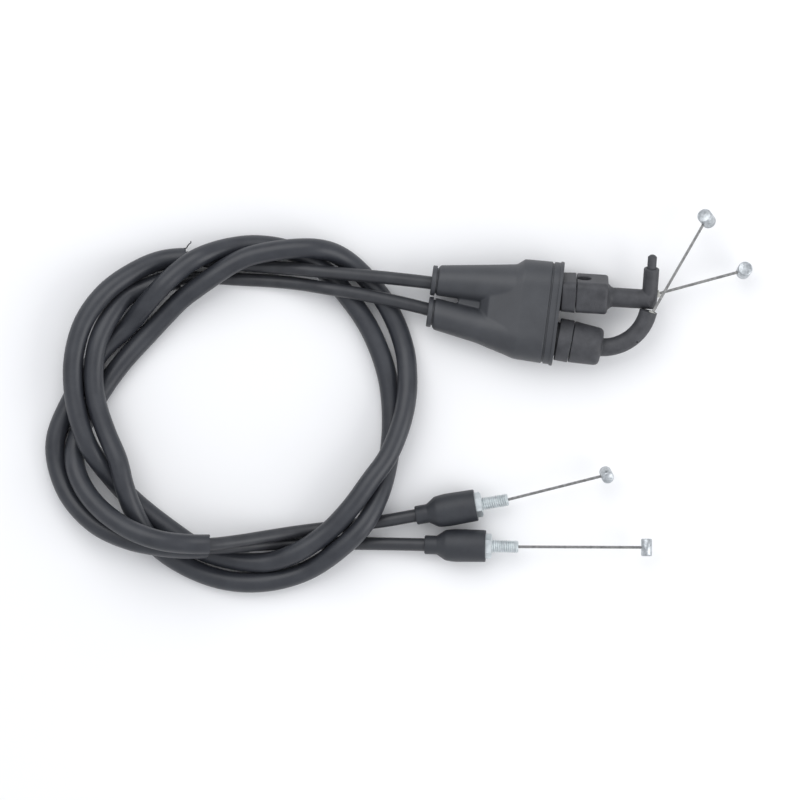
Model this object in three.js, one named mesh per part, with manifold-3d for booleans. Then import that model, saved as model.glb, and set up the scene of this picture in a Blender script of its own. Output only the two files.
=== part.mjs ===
// A pair of motorcycle throttle cables laid out flat: one opens the throttle, the other closes it.
// The cable with the locating pin ends in the straight fitting, the other one ends in the bent fitting.
// Units are millimetres, +Z is up, and everything lies on the surface z = 0.
import * as THREE from 'three';
import { ConvexGeometry } from 'three/addons/geometries/ConvexGeometry.js';
import { mergeVertices } from 'three/addons/utils/BufferGeometryUtils.js';
import manifoldModule from 'manifold-3d';

const manifold = await manifoldModule();
manifold.setup();

// ---------------------------------------------------------------- sizes

// Clearances
const JOINT_GAP = 0.3; // between pieces that meet face to face
const SLIP = 0.3; // radial clearance of a piece that slides or turns in another

// Cable construction
const CONDUIT_D = 6; // outer conduit over its coiled steel liner
const SLEEVE_ROOM = 0.4; // radial room of the loose protective sleeve over the conduit
const SLEEVE_WALL = 1.1;
const SLEEVE_D = CONDUIT_D + 2 * (SLEEVE_ROOM + SLEEVE_WALL);
const WIRE_D = 1.5; // stranded inner wire
const CONDUIT_SIDES = 10;
const SLEEVE_SIDES = 10;
const CONDUIT_STEP = 14; // distance between sections of a bare conduit
const SLEEVE_STEP = 13; // distance between sections where the sleeve covers it

// Inner wire ends
const THROTTLE_TAIL = 14; // wire inside its fitting at rest
const THROTTLE_BORE = 14.8;
const BODY_TAIL = 3.5; // leaves room to draw the wire in
const BODY_BORE = 16.5;
const NIPPLE_D = 6;
const NIPPLE_LENGTH = 8;
const BODY_NIPPLE_D = 5;
const BODY_NIPPLE_LENGTH = 8;
const NIPPLE_SEAT = 1.2; // how far the wire runs into its nipple
const LINER_D = 3.4; // pale guide that lines the mouth of a fitting
const LINER_LENGTH = 5;
const LINER_PROUD = 1.1;

// Throttle-end adjusters, hidden in the twin boot
const FERRULE_WALL = 0.8;
const FERRULE_LENGTH = 12;
const FERRULE_FLOOR = 1;
const SCREW_D = 7;
const SCREW_SOCKET_DEPTH = 7; // length of the screw inside the fitting
const LOCK_NUT_AF = 11;
const LOCK_NUT_THICK = 5;
const SCREW_BEHIND = 24.7; // from the collar back to the ferrule

// Collars between the twin boot and the fittings
const COLLAR_THICK = 6.4;
const COLLAR_START = 1.1; // from the boot's mouth
const SPIGOT_D = 15.5;
const SPIGOT_LENGTH = 6;

// Straight fitting with its locating post
const BLOCK_HEIGHT = 14.7;
const BLOCK_DEPTH = 19.5;
const BLOCK_RISE = 8.4; // axis to the facet
const BLOCK_CORNER = 3;
const BLOCK_LENGTH = 14.6;
const BLOCK_ROLL = 18; // how far the fitting is turned about its screw
const STEM_D = 9;
const STEM_END = 45.3; // from the collar's back face
const POST_D = 7.2;
const POST_HEIGHT = 15.1;
const POST_INSET = 3.6; // from the end of the stem
const TIP_STEP = 0.2; // the stem's rounded tip is this much slimmer than the post
const PIN_D = 4.2;
const PIN_REACH = 21.4;
const PIN_SEAT = 8;
const PIN_CHAMFER = 1;
const FACET_HOLE_D = 6.4;
const FACET_HOLE_DEPTH = 3;
const FACET_HOLE_AT = 11.9;

// Bent fitting
const BARREL_D = 19.2;
const BARREL_END_D = 17.3;
const BARREL_LENGTH = 14;
const ELBOW_D = 8.3;
const ELBOW_RADIUS = 21.2;
const ELBOW_SWEEP = 78;
const ELBOW_TURN_IN = 8.5; // the elbow leaves its barrel at this angle
const ELBOW_LEAD = 4;
const ELBOW_ROLL = 10; // how far the fitting is turned about its screw

// Twin boot
const BOOT_MOUTH_WIDTH = 48.2;
const BOOT_THICK = 24;
const BOOT_BODY_WIDTH = 46.3;
const BOOT_STEP_WIDTH = 42.6;
const BOOT_LENGTH = 59.9;
const BOOT_STEP_AT = 21.5; // from the mouth to the foot of the chamfer
const BOOT_CHAMFER = 3.4;
const BOOT_WALL = 1.5;
const BOOT_LIP_D = 13.9;
const BOOT_LIP_LENGTH = 2.2;
const BOOT_LIP_GROOVE = 0.9;
const BOOT_WAIST_AT = 36.5; // from the mouth to where each tube starts to widen faster
const BOOT_WAIST_D = { pin: 17.5, bent: 16 };
const BOOT_STEP_THICK = 21;
const RIM_BAND = 4.4; // from the mouth back to the groove
const RIM_GROOVE = 0.7;
const RIM_BEAD = 1.6;
const WEB_START = 46.6; // distances from the mouth
const WEB_END = 36;
const WEB_THICK = 5;

// Throttle-body adjusters
const ADJUSTER_TILT = 3; // nose up, because the boot is thicker than the conduit
const ADJUSTER_BOOT_LENGTH = 28.2;
const ADJUSTER_BOOT_D = 15.2;
const ADJUSTER_BOOT_MOUTH_D = 14.8;
const ADJUSTER_BOOT_WALL = 1.35;
const ADJUSTER_NECK_WALL = 1;
const ADJUSTER_NECK_LENGTH = 6;
const ADJUSTER_CONE_LENGTH = 4;
const BULGE_LENGTH = 4.5; // from the cone to the boot's widest place
const ADJUSTER_LENGTH = 43.4; // from the boot's neck to the tip of the stud
const STUD_D = 6;
const NUT_SHOWING = 2.9; // outer nut past the mouth of its rubber boot
const NUT_AF = 10;
const NUT_THICK = 5;
const CUP_WALL = 1.1;
const CUP_START = 9; // from the boot's neck
const CUP_DEPTH = 9;
const BOOT_SLIDE_ROOM = 16; // straight conduit behind the neck

// ---------------------------------------------------------------- places

// The mouth of the twin boot, and the two fittings' axes where they cross it
const AXIS_HEIGHT = BOOT_THICK / 2;
const BOOT_MOUTH = { x: 72.95, y: 39.7, heading: -7.2 };
const PIN_FITTING = { x: 73.3, y: 48.9, heading: -3.5 };
const BENT_FITTING = { x: 71.4, y: 28.3, heading: -10.5 };

// Puts the origin under the middle of everything
const LAYOUT_SHIFT = [0.565, 0.57, 0];

// Necks of the two boots at the throttle body
const PIN_NECK = { x: 7.3, y: -53.3, heading: 9.8 };
const BENT_NECK = { x: 11.4, y: -66.8, heading: -1.2 };

// Nipples: centre and direction of their own axis
const PIN_NIPPLE = { at: [158.6, 59.7, 12], axis: [0.1, 0.2, 0.97] };
const BENT_NIPPLE = { at: [141, 83.4, 18.5], axis: [-0.33, 0.36, 0.87] };
const PIN_BODY_NIPPLE = { at: [95.2, -34.5, 12.4], axis: [0.15, -0.37, 0.92] };
const BENT_BODY_NIPPLE = { at: [113.6, -67.9, 12.9], axis: [0, 1, 0] };

// Where a throttle-end wire leaves its fitting, off the fitting's axis
const PIN_WIRE_OFFSET = { across: 2.8, up: -0.9 };
const BENT_WIRE_OFFSET = { across: -1.8, up: 0.6 };

// Routes of the conduits between their two straight ends
const PIN_ROUTE = [
  [24, 52.5, 12],
  [14, 54, 12],
  [-5, 56.2, 12.4],
  [-20, 57.6, 13],
  [-33, 58.8, 13],
  [-44, 60, 11.5],
  [-57, 61.2, 6.4],
  [-70, 62.2, 3.7],
  [-84, 63.2, 3.3],
  [-97, 65.6, 4.7],
  [-110.5, 64.4, 6],
  [-124.2, 58.2, 10.6],
  [-136, 49.3, 14.3],
  [-145.6, 36, 14.6],
  [-150.2, 20, 14.4],
  [-150.4, 5, 14.4],
  [-147.6, -10, 14.9],
  [-143, -22, 14.7],
  [-133.2, -35.5, 9.3],
  [-122.6, -46.8, 5.2],
  [-105.4, -60.4, 4.9],
  [-91.6, -69.4, 4.7],
  [-76, -74, 4.8],
  [-61, -74.8, 7.5],
  [-47.5, -70.2, 11.6],
  [-33.4, -60.8, 13.4],
  [-22.6, -49.4, 16],
  [-13.8, -37.4, 16.6],
  [-5.4, -25.6, 14.6],
  [0.8, -10, 13.4],
  [3.2, 2.5, 11.2],
  [3.4, 12, 8.8],
  [2.4, 22, 6],
  [-1.5, 34.5, 4.7],
  [-8.3, 47.2, 4.6],
  [-16.3, 57, 4.7],
  [-23.6, 63.8, 6],
  [-31, 68, 9.6],
  [-39, 69.8, 13.2],
  [-49, 69.7, 14.4],
  [-59.5, 68.4, 14.4],
  [-70, 66, 14.3],
  [-78, 62.2, 14],
  [-86, 57, 13.4],
  [-93.5, 51.8, 11.4],
  [-101, 46.2, 9.2],
  [-108.2, 39, 7],
  [-115.4, 31.4, 5.2],
  [-129, 16.4, 4.7],
  [-138, 3.8, 4.8],
  [-145.2, -8.6, 4.7],
  [-149.9, -21.5, 7],
  [-149.6, -31, 11.6],
  [-146, -39.8, 14.8],
  [-140.2, -47.6, 18.4],
  [-132, -54.6, 22.6],
  [-122, -60.4, 26.2],
  [-110, -64.4, 27.3],
  [-98, -66, 24.6],
  [-87, -66.2, 23.2],
  [-74, -64.8, 18],
  [-62, -63, 12],
  [-50, -61.2, 7.6],
  [-36, -59.4, 5],
];
const BENT_ROUTE = [
  [23.5, 38.2, 12],
  [12.8, 41.8, 12],
  [-5, 46.1, 12.5],
  [-22.4, 49.6, 12.7],
  [-33, 51.3, 12.5],
  [-45, 53.4, 7],
  [-57.6, 54.8, 3.6],
  [-75, 55.8, 3.2],
  [-90, 56.6, 3.6],
  [-104.5, 55.4, 4.9],
  [-115, 52.9, 4.8],
  [-125.8, 48.4, 6.2],
  [-133.3, 39.1, 10.8],
  [-138.8, 27.4, 14],
  [-141, 14, 14.3],
  [-140, 0, 14.4],
  [-135.6, -14, 15.4],
  [-129.7, -28, 17.5],
  [-127, -39, 17.3],
  [-123.4, -49.5, 15],
  [-115, -64.6, 8.7],
  [-100.2, -76, 4.8],
  [-81, -83.2, 4.8],
  [-62, -84, 4.7],
  [-44, -79.2, 6.2],
  [-29, -69.6, 12.4],
  [-16.6, -57.4, 14.1],
  [-9.6, -44, 10],
  [-5.6, -29, 5],
  [-3.8, -10, 4.7],
  [-6, 11.5, 4.7],
  [-14, 32.7, 4.7],
  [-25, 48.8, 4.6],
  [-37.5, 62, 4.7],
  [-50, 68.8, 4.7],
  [-66, 71.6, 5],
  [-81, 69.8, 8.6],
  [-94, 65, 14.5],
  [-102, 59.4, 14.6],
  [-109.5, 52.4, 14.8],
  [-117.6, 43.6, 11.4],
  [-125.8, 34, 6],
  [-138, 22.4, 4.7],
  [-150.8, 2, 4.7],
  [-158.8, -17, 4.7],
  [-158.6, -29, 4.8],
  [-152.6, -44.4, 7.4],
  [-140.4, -57.2, 12.2],
  [-125, -64.3, 17.9],
  [-110, -67.4, 18.2],
  [-98, -68.6, 15.2],
  [-85, -68.2, 13.6],
  [-71, -67.2, 9.2],
  [-58, -66.4, 4.8],
  [-45, -66.4, 3.3],
  [-25, -66.2, 4.4],
];
// Each sleeve covers its conduit between these two distances along the cable
const PIN_SLEEVE = { from: 147, to: 812 };
const BENT_SLEEVE = { from: 152, to: 822 };

// ---------------------------------------------------------------- materials

const finish = (color, roughness, metalness = 0) => () =>
  new THREE.MeshStandardMaterial({ color, roughness, metalness });
const rubber = finish(0x3f4145, 0.62);
const sleevePlastic = finish(0x45484d, 0.5);
const conduitPlastic = finish(0x3b3d41, 0.45);
const mouldedPlastic = finish(0x303236, 0.6);
const zinc = finish(0xc9cdcc, 0.32, 1);
const steelWire = finish(0x8f8f8d, 0.4, 1);
const palePlastic = finish(0xcfcfc8, 0.5);

// ---------------------------------------------------------------- frames and solids

const radians = THREE.MathUtils.degToRad;

// A frame whose X axis points along heading (in plan) and pitch (upwards), rolled about itself
function frameAt(x, y, z, heading, pitch = 0, roll = 0) {
  return new THREE.Matrix4()
    .makeRotationZ(radians(heading))
    .multiply(new THREE.Matrix4().makeRotationY(-radians(pitch)))
    .multiply(new THREE.Matrix4().makeRotationX(radians(roll)))
    .setPosition(x, y, z);
}

// A frame at `from` whose X axis points at `to`
function frameTowards(from, to) {
  const along = new THREE.Vector3().subVectors(to, from).normalize();
  const turn = new THREE.Quaternion().setFromUnitVectors(new THREE.Vector3(1, 0, 0), along);
  return new THREE.Matrix4().makeRotationFromQuaternion(turn).setPosition(from);
}

const pointIn = (frame, x, y = 0, z = 0) => new THREE.Vector3(x, y, z).applyMatrix4(frame);

// A closed three.js geometry as a solid that can be cut and joined
function solidOf(geometry) {
  const bare = geometry.clone();
  bare.deleteAttribute('normal');
  bare.deleteAttribute('uv');
  const welded = mergeVertices(bare, 1e-4);
  return new manifold.Manifold(new manifold.Mesh({
    numProp: 3,
    vertProperties: new Float32Array(welded.attributes.position.array),
    triVerts: new Uint32Array(welded.index.array),
  }));
}

function geometryOf(solid) {
  const mesh = solid.getMesh();
  const geometry = new THREE.BufferGeometry();
  geometry.setAttribute('position', new THREE.BufferAttribute(mesh.vertProperties, 3));
  geometry.setIndex(new THREE.BufferAttribute(mesh.triVerts, 1));
  return geometry;
}

function joined(...geometries) {
  return geometryOf(geometries.map(solidOf).reduce((whole, next) => whole.add(next)));
}

function cut(geometry, ...tools) {
  return geometryOf(tools.map(solidOf).reduce((left, tool) => left.subtract(tool), solidOf(geometry)));
}

function common(first, second) {
  return geometryOf(solidOf(first).intersect(solidOf(second)));
}

// A round rod along X from x0 to x1
function rod(diameter, x0, x1, sides = 24) {
  const geometry = new THREE.CylinderGeometry(diameter / 2, diameter / 2, x1 - x0, sides);
  return geometry.rotateZ(-Math.PI / 2).translate((x0 + x1) / 2, 0, 0);
}

// A body turned about X from [distance, radius] pairs that start and end on the axis or close on themselves
function turned(profile, sides = 24) {
  const points = profile.map(([x, r]) => new THREE.Vector2(r, x));
  return new THREE.LatheGeometry(points, sides).rotateZ(-Math.PI / 2);
}

function hexRod(acrossFlats, x0, x1) {
  return rod(acrossFlats / Math.cos(Math.PI / 6), x0, x1, 6);
}

// Points of a section with round ends in the plane at x: circles of this diameter centred at each y
function roundSection(x, diameter, centres, sides = 24) {
  return centres.flatMap((y) => Array.from({ length: sides }, (_, i) => {
    const angle = (2 * Math.PI * i) / sides;
    return new THREE.Vector3(x, y + (diameter / 2) * Math.cos(angle), (diameter / 2) * Math.sin(angle));
  }));
}

const skin = (...sections) => new ConvexGeometry(sections.flat());

// ---------------------------------------------------------------- cables

// A route read at chosen distances, so that a sleeve and its conduit share their sections
class SteppedRoute extends THREE.Curve {
  constructor(route, distances) {
    super();
    this.route = route;
    this.distances = distances;
    this.total = route.getLength();
  }
  place(u) {
    const position = u * (this.distances.length - 1);
    const index = Math.min(Math.floor(position), this.distances.length - 2);
    const [before, after] = [this.distances[index], this.distances[index + 1]];
    return (before + (after - before) * (position - index)) / this.total;
  }
  getPoint(u, target = new THREE.Vector3()) {
    return this.route.getPointAt(this.place(u), target);
  }
  getPointAt(u, target) {
    return this.getPoint(u, target);
  }
  getTangentAt(u, target = new THREE.Vector3()) {
    return this.route.getTangentAt(this.place(u), target);
  }
}

// Evenly spaced distances from one end of a stretch to the other, without the last
function spaced(from, to, step) {
  const count = Math.max(1, Math.round((to - from) / step));
  return Array.from({ length: count }, (_, i) => from + ((to - from) * i) / count);
}

function circle(diameter, sides) {
  const shape = new THREE.Shape();
  for (let i = 0; i < sides; i += 1) {
    const angle = (2 * Math.PI * i) / sides;
    const [x, y] = [(diameter / 2) * Math.cos(angle), (diameter / 2) * Math.sin(angle)];
    if (i === 0) shape.moveTo(x, y);
    else shape.lineTo(x, y);
  }
  shape.closePath();
  return shape;
}

function tubeAlong(route, distances, shape) {
  const path = new SteppedRoute(route, distances);
  return new THREE.ExtrudeGeometry(shape, {
    steps: distances.length - 1,
    bevelEnabled: false,
    extrudePath: path,
    curveSegments: 1,
  });
}

function cableRoute(headFrame, points, tailFrame) {
  const conduitEnd = -SCREW_BEHIND - FERRULE_FLOOR - JOINT_GAP;
  const route = new THREE.CatmullRomCurve3([
    pointIn(headFrame, conduitEnd),
    pointIn(headFrame, conduitEnd - FERRULE_LENGTH),
    ...points.map((point) => new THREE.Vector3(...point)),
    pointIn(tailFrame, -BOOT_SLIDE_ROOM),
    pointIn(tailFrame, 0),
    pointIn(tailFrame, CUP_START + CUP_DEPTH - JOINT_GAP),
  ], false, 'centripetal');
  route.arcLengthDivisions = 3000;
  return route;
}

function conduitAndSleeve(name, route, sleeve) {
  const covered = spaced(sleeve.from, sleeve.to, SLEEVE_STEP);
  const length = route.getLength();
  const stations = [
    ...spaced(0, sleeve.from, CONDUIT_STEP),
    ...covered,
    ...spaced(sleeve.to, length, CONDUIT_STEP),
    length,
  ];
  const tube = circle(SLEEVE_D, SLEEVE_SIDES);
  tube.holes.push(circle(SLEEVE_D - 2 * SLEEVE_WALL, SLEEVE_SIDES));
  return [
    piece(`${name}_conduit`, tubeAlong(route, stations, circle(CONDUIT_D, CONDUIT_SIDES)), conduitPlastic),
    piece(`${name}_sleeve`, tubeAlong(route, [...covered, sleeve.to], tube), sleevePlastic),
  ];
}

// ---------------------------------------------------------------- scene graph helpers

function piece(name, geometry, material) {
  const mesh = new THREE.Mesh(geometry, material());
  mesh.name = name;
  return mesh;
}

function placed(frame, ...pieces) {
  const group = new THREE.Group();
  group.applyMatrix4(frame);
  group.add(...pieces);
  return group;
}

// ---------------------------------------------------------------- inner wires

// One exposed wire end: its own frame starts where it leaves its fitting and points at its nipple
function wireEnd(exit, nipple, nippleDiameter) {
  const centre = new THREE.Vector3(...nipple.at);
  const frame = frameTowards(exit, centre);
  const reach = exit.distanceTo(centre) - nippleDiameter / 2;
  return { frame, centre, reach, axis: new THREE.Vector3(...nipple.axis).normalize() };
}

function wirePieces(name, end, tail, nippleDiameter, nippleLength) {
  const bore = WIRE_D + 2 * SLIP;
  const wire = rod(WIRE_D, -tail, end.reach + NIPPLE_SEAT, 8);
  const nippleFrame = frameTowards(end.centre, end.centre.clone().add(end.axis));
  const toNipple = nippleFrame.clone().invert().multiply(end.frame);
  const seat = rod(bore, 0, end.reach + NIPPLE_SEAT + JOINT_GAP, 12).applyMatrix4(toNipple);
  const half = nippleLength / 2;
  const radius = nippleDiameter / 2;
  const edge = 0.5;
  const barrel = turned([
    [-half, 0],
    [-half, radius - edge],
    [edge - half, radius],
    [half - edge, radius],
    [half, radius - edge],
    [half, 0],
  ], 20);
  return [
    placed(end.frame, piece(`${name}_wire`, wire, steelWire)),
    placed(nippleFrame, piece(`${name}_nipple`, cut(barrel, seat), zinc)),
  ];
}

// The straight hole that a wire end slides in, as seen from a fitting's own frame
function wireHole(end, fittingFrame, diameter, depth) {
  const toFitting = fittingFrame.clone().invert().multiply(end.frame);
  return rod(diameter, -depth, LINER_LENGTH, 12).applyMatrix4(toFitting);
}

const guideSeat = LINER_D + 2 * JOINT_GAP;

function guideLiner(name, end) {
  const inside = LINER_LENGTH - LINER_PROUD;
  const ring = cut(
    rod(LINER_D, -inside, LINER_PROUD, 16),
    rod(WIRE_D + 2 * SLIP, -LINER_LENGTH, LINER_LENGTH, 12),
  );
  return placed(end.frame, piece(name, ring, palePlastic));
}

// ---------------------------------------------------------------- throttle-end adjusters

function headAdjuster(name, frame) {
  const ferruleFront = -SCREW_BEHIND;
  const ferruleBack = ferruleFront - FERRULE_LENGTH;
  const ferrule = cut(
    rod(CONDUIT_D + 2 * (SLIP + FERRULE_WALL), ferruleBack, ferruleFront, 16),
    rod(CONDUIT_D + 2 * SLIP, ferruleBack - 1, ferruleFront - FERRULE_FLOOR, 16),
  );
  const screwBack = ferruleFront + JOINT_GAP;
  const screwTip = COLLAR_START + COLLAR_THICK + SCREW_SOCKET_DEPTH;
  const screw = rod(SCREW_D, screwBack, screwTip, 16);
  const nutFront = -SPIGOT_LENGTH - JOINT_GAP;
  const lockNut = cut(
    hexRod(LOCK_NUT_AF, nutFront - LOCK_NUT_THICK, nutFront),
    rod(SCREW_D + 2 * SLIP, screwBack, screwTip, 16),
  );
  return placed(
    frame,
    piece(`${name}_head_ferrule`, ferrule, zinc),
    piece(`${name}_adjuster_screw`, screw, zinc),
    piece(`${name}_head_lock_nut`, lockNut, zinc),
  );
}

const screwHole = (from, to) => rod(SCREW_D + 2 * SLIP, from, to, 16);
const collarEnd = COLLAR_START + COLLAR_THICK;

// ---------------------------------------------------------------- straight fitting

// The block's cross-section with rounded corners, extruded along X
function blockBar(x0, x1, inset = 0) {
  const radius = BLOCK_CORNER;
  const [low, high] = [BLOCK_RISE - BLOCK_HEIGHT + inset, BLOCK_RISE - inset];
  const side = BLOCK_DEPTH / 2 - inset;
  const centres = [
    [low + radius, -side + radius, Math.PI],
    [high - radius, -side + radius, -Math.PI / 2],
    [high - radius, side - radius, 0],
    [low + radius, side - radius, Math.PI / 2],
  ];
  const corner = 4;
  const outline = centres.flatMap(([y, z, start]) => Array.from({ length: corner + 1 }, (_, i) => {
    const angle = start + (Math.PI / 2) * (i / corner);
    return [y + radius * Math.cos(angle), z + radius * Math.sin(angle)];
  }));
  return skin([x0, x1].flatMap((x) => outline.map(([y, z]) => new THREE.Vector3(x, y, z))));
}

// Turns a body made along X so that it stands along Y at distance x
const standing = (geometry, x) => geometry.rotateZ(Math.PI / 2).translate(x, 0, 0);

function pinCollar(frame) {
  const ring = joined(
    rod(SPIGOT_D, -SPIGOT_LENGTH, COLLAR_START + 1, 24),
    blockBar(COLLAR_START, collarEnd, 0.35),
  );
  const bored = cut(ring, screwHole(-SPIGOT_LENGTH - 1, collarEnd + 1));
  return placed(frame, piece('pin_collar', bored, mouldedPlastic));
}

function pinFitting(frame, end) {
  const blockFrom = collarEnd + JOINT_GAP;
  const blockTo = blockFrom + BLOCK_LENGTH;
  const postAt = STEM_END - POST_INSET;
  const shoulder = turned([
    [blockTo - 0.5, 0],
    [blockTo - 0.5, 6.4],
    [blockTo + 0.6, 5.6],
    [blockTo + 2.6, STEM_D / 2 - 0.2],
    [blockTo + 2.6, 0],
  ], 20);
  const post = standing(rod(POST_D, 0, POST_HEIGHT, 20), postAt);
  const tip = standing(rod(POST_D - TIP_STEP, -STEM_D, STEM_D, 20), postAt);
  const stem = common(
    rod(STEM_D, blockTo - 1, STEM_END, 20),
    joined(rod(2 * STEM_D, blockTo - 2, postAt, 20), tip),
  );
  const whole = joined(blockBar(blockFrom, blockTo), shoulder, stem, post);
  const body = cut(
    whole,
    screwHole(blockFrom - 1, collarEnd + SCREW_SOCKET_DEPTH + JOINT_GAP),
    standing(rod(PIN_D + 2 * JOINT_GAP, POST_HEIGHT - PIN_SEAT, POST_HEIGHT + 1, 16), postAt),
    standing(rod(FACET_HOLE_D, BLOCK_RISE - FACET_HOLE_DEPTH, BLOCK_RISE + 1, 20), FACET_HOLE_AT),
    wireHole(end, frame, WIRE_D + 2 * SLIP, THROTTLE_BORE),
    wireHole(end, frame, guideSeat, LINER_LENGTH - LINER_PROUD + JOINT_GAP),
  );
  const pinFrom = POST_HEIGHT - PIN_SEAT + JOINT_GAP;
  const pin = turned([
    [pinFrom, 0],
    [pinFrom, PIN_D / 2],
    [PIN_REACH - PIN_CHAMFER, PIN_D / 2],
    [PIN_REACH, PIN_D / 2 - PIN_CHAMFER],
    [PIN_REACH, 0],
  ], 16);
  return placed(
    frame,
    piece('pin_fitting', body, mouldedPlastic),
    piece('locating_pin', standing(pin, postAt), mouldedPlastic),
  );
}

// ---------------------------------------------------------------- bent fitting

const elbowPath = (() => {
  const start = new THREE.Vector3(collarEnd + BARREL_LENGTH + JOINT_GAP, 0, 0);
  const lead = new THREE.Vector3(Math.cos(radians(ELBOW_TURN_IN)), Math.sin(radians(ELBOW_TURN_IN)), 0);
  const left = new THREE.Vector3(-lead.y, lead.x, 0);
  const bendFrom = start.clone();
  const centre = bendFrom.clone().addScaledVector(left, ELBOW_RADIUS);
  return {
    at(degrees) {
      const angle = radians(degrees);
      return centre.clone()
        .addScaledVector(left, -ELBOW_RADIUS * Math.cos(angle))
        .addScaledVector(lead, ELBOW_RADIUS * Math.sin(angle));
    },
    start: start.clone().addScaledVector(lead, -ELBOW_LEAD),
  };
})();

function bentCollar(frame) {
  const ring = joined(
    rod(SPIGOT_D, -SPIGOT_LENGTH, COLLAR_START + 1, 24),
    rod(BARREL_D + 0.4, COLLAR_START, collarEnd, 32),
  );
  const bored = cut(ring, screwHole(-SPIGOT_LENGTH - 1, collarEnd + 1));
  return placed(frame, piece('bent_collar', bored, mouldedPlastic));
}

function bentFitting(frame, end) {
  const from = collarEnd + JOINT_GAP;
  const to = from + BARREL_LENGTH;
  const round = 2;
  const barrel = turned([
    [from, 0],
    [from, BARREL_D / 2],
    [to - round, BARREL_END_D / 2],
    [to - 0.5, BARREL_END_D / 2 - 0.8],
    [to, BARREL_END_D / 2 - round],
    [to, 0],
  ], 32);
  const bendSteps = 12;
  const points = [elbowPath.start];
  for (let i = 0; i <= bendSteps; i += 1) points.push(elbowPath.at((ELBOW_SWEEP * i) / bendSteps));
  const run = new THREE.CatmullRomCurve3(points, false, 'centripetal');
  const tube = new THREE.ExtrudeGeometry(circle(ELBOW_D, 20), {
    steps: 16,
    bevelEnabled: false,
    extrudePath: run,
    curveSegments: 1,
  });
  const body = cut(
    joined(barrel, tube),
    screwHole(from - 1, collarEnd + SCREW_SOCKET_DEPTH + JOINT_GAP),
    wireHole(end, frame, WIRE_D + 2 * SLIP, THROTTLE_BORE),
    wireHole(end, frame, guideSeat, LINER_LENGTH - LINER_PROUD + JOINT_GAP),
  );
  return placed(frame, piece('bent_fitting', body, mouldedPlastic));
}

// ---------------------------------------------------------------- twin boot

// Centres of the two sleeves across the boot, near its lips, at their waists and at its step
const LIP_CENTRES = { pin: 8.1, bent: -6.5 };
const WAIST_CENTRES = { pin: 9.45, bent: -10 };
const stepHalf = (BOOT_STEP_WIDTH - BOOT_STEP_THICK) / 2;
const STEP_CENTRES = { pin: stepHalf - 0.9, bent: -stepHalf - 0.9 };

function stadium(x, width, thickness, shift = 0) {
  const half = (width - thickness) / 2;
  return roundSection(x, thickness, [shift + half, shift - half]);
}

function waistSection(side, hollow = 0) {
  return roundSection(-BOOT_WAIST_AT, BOOT_WAIST_D[side] - hollow, [WAIST_CENTRES[side]]);
}

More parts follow.
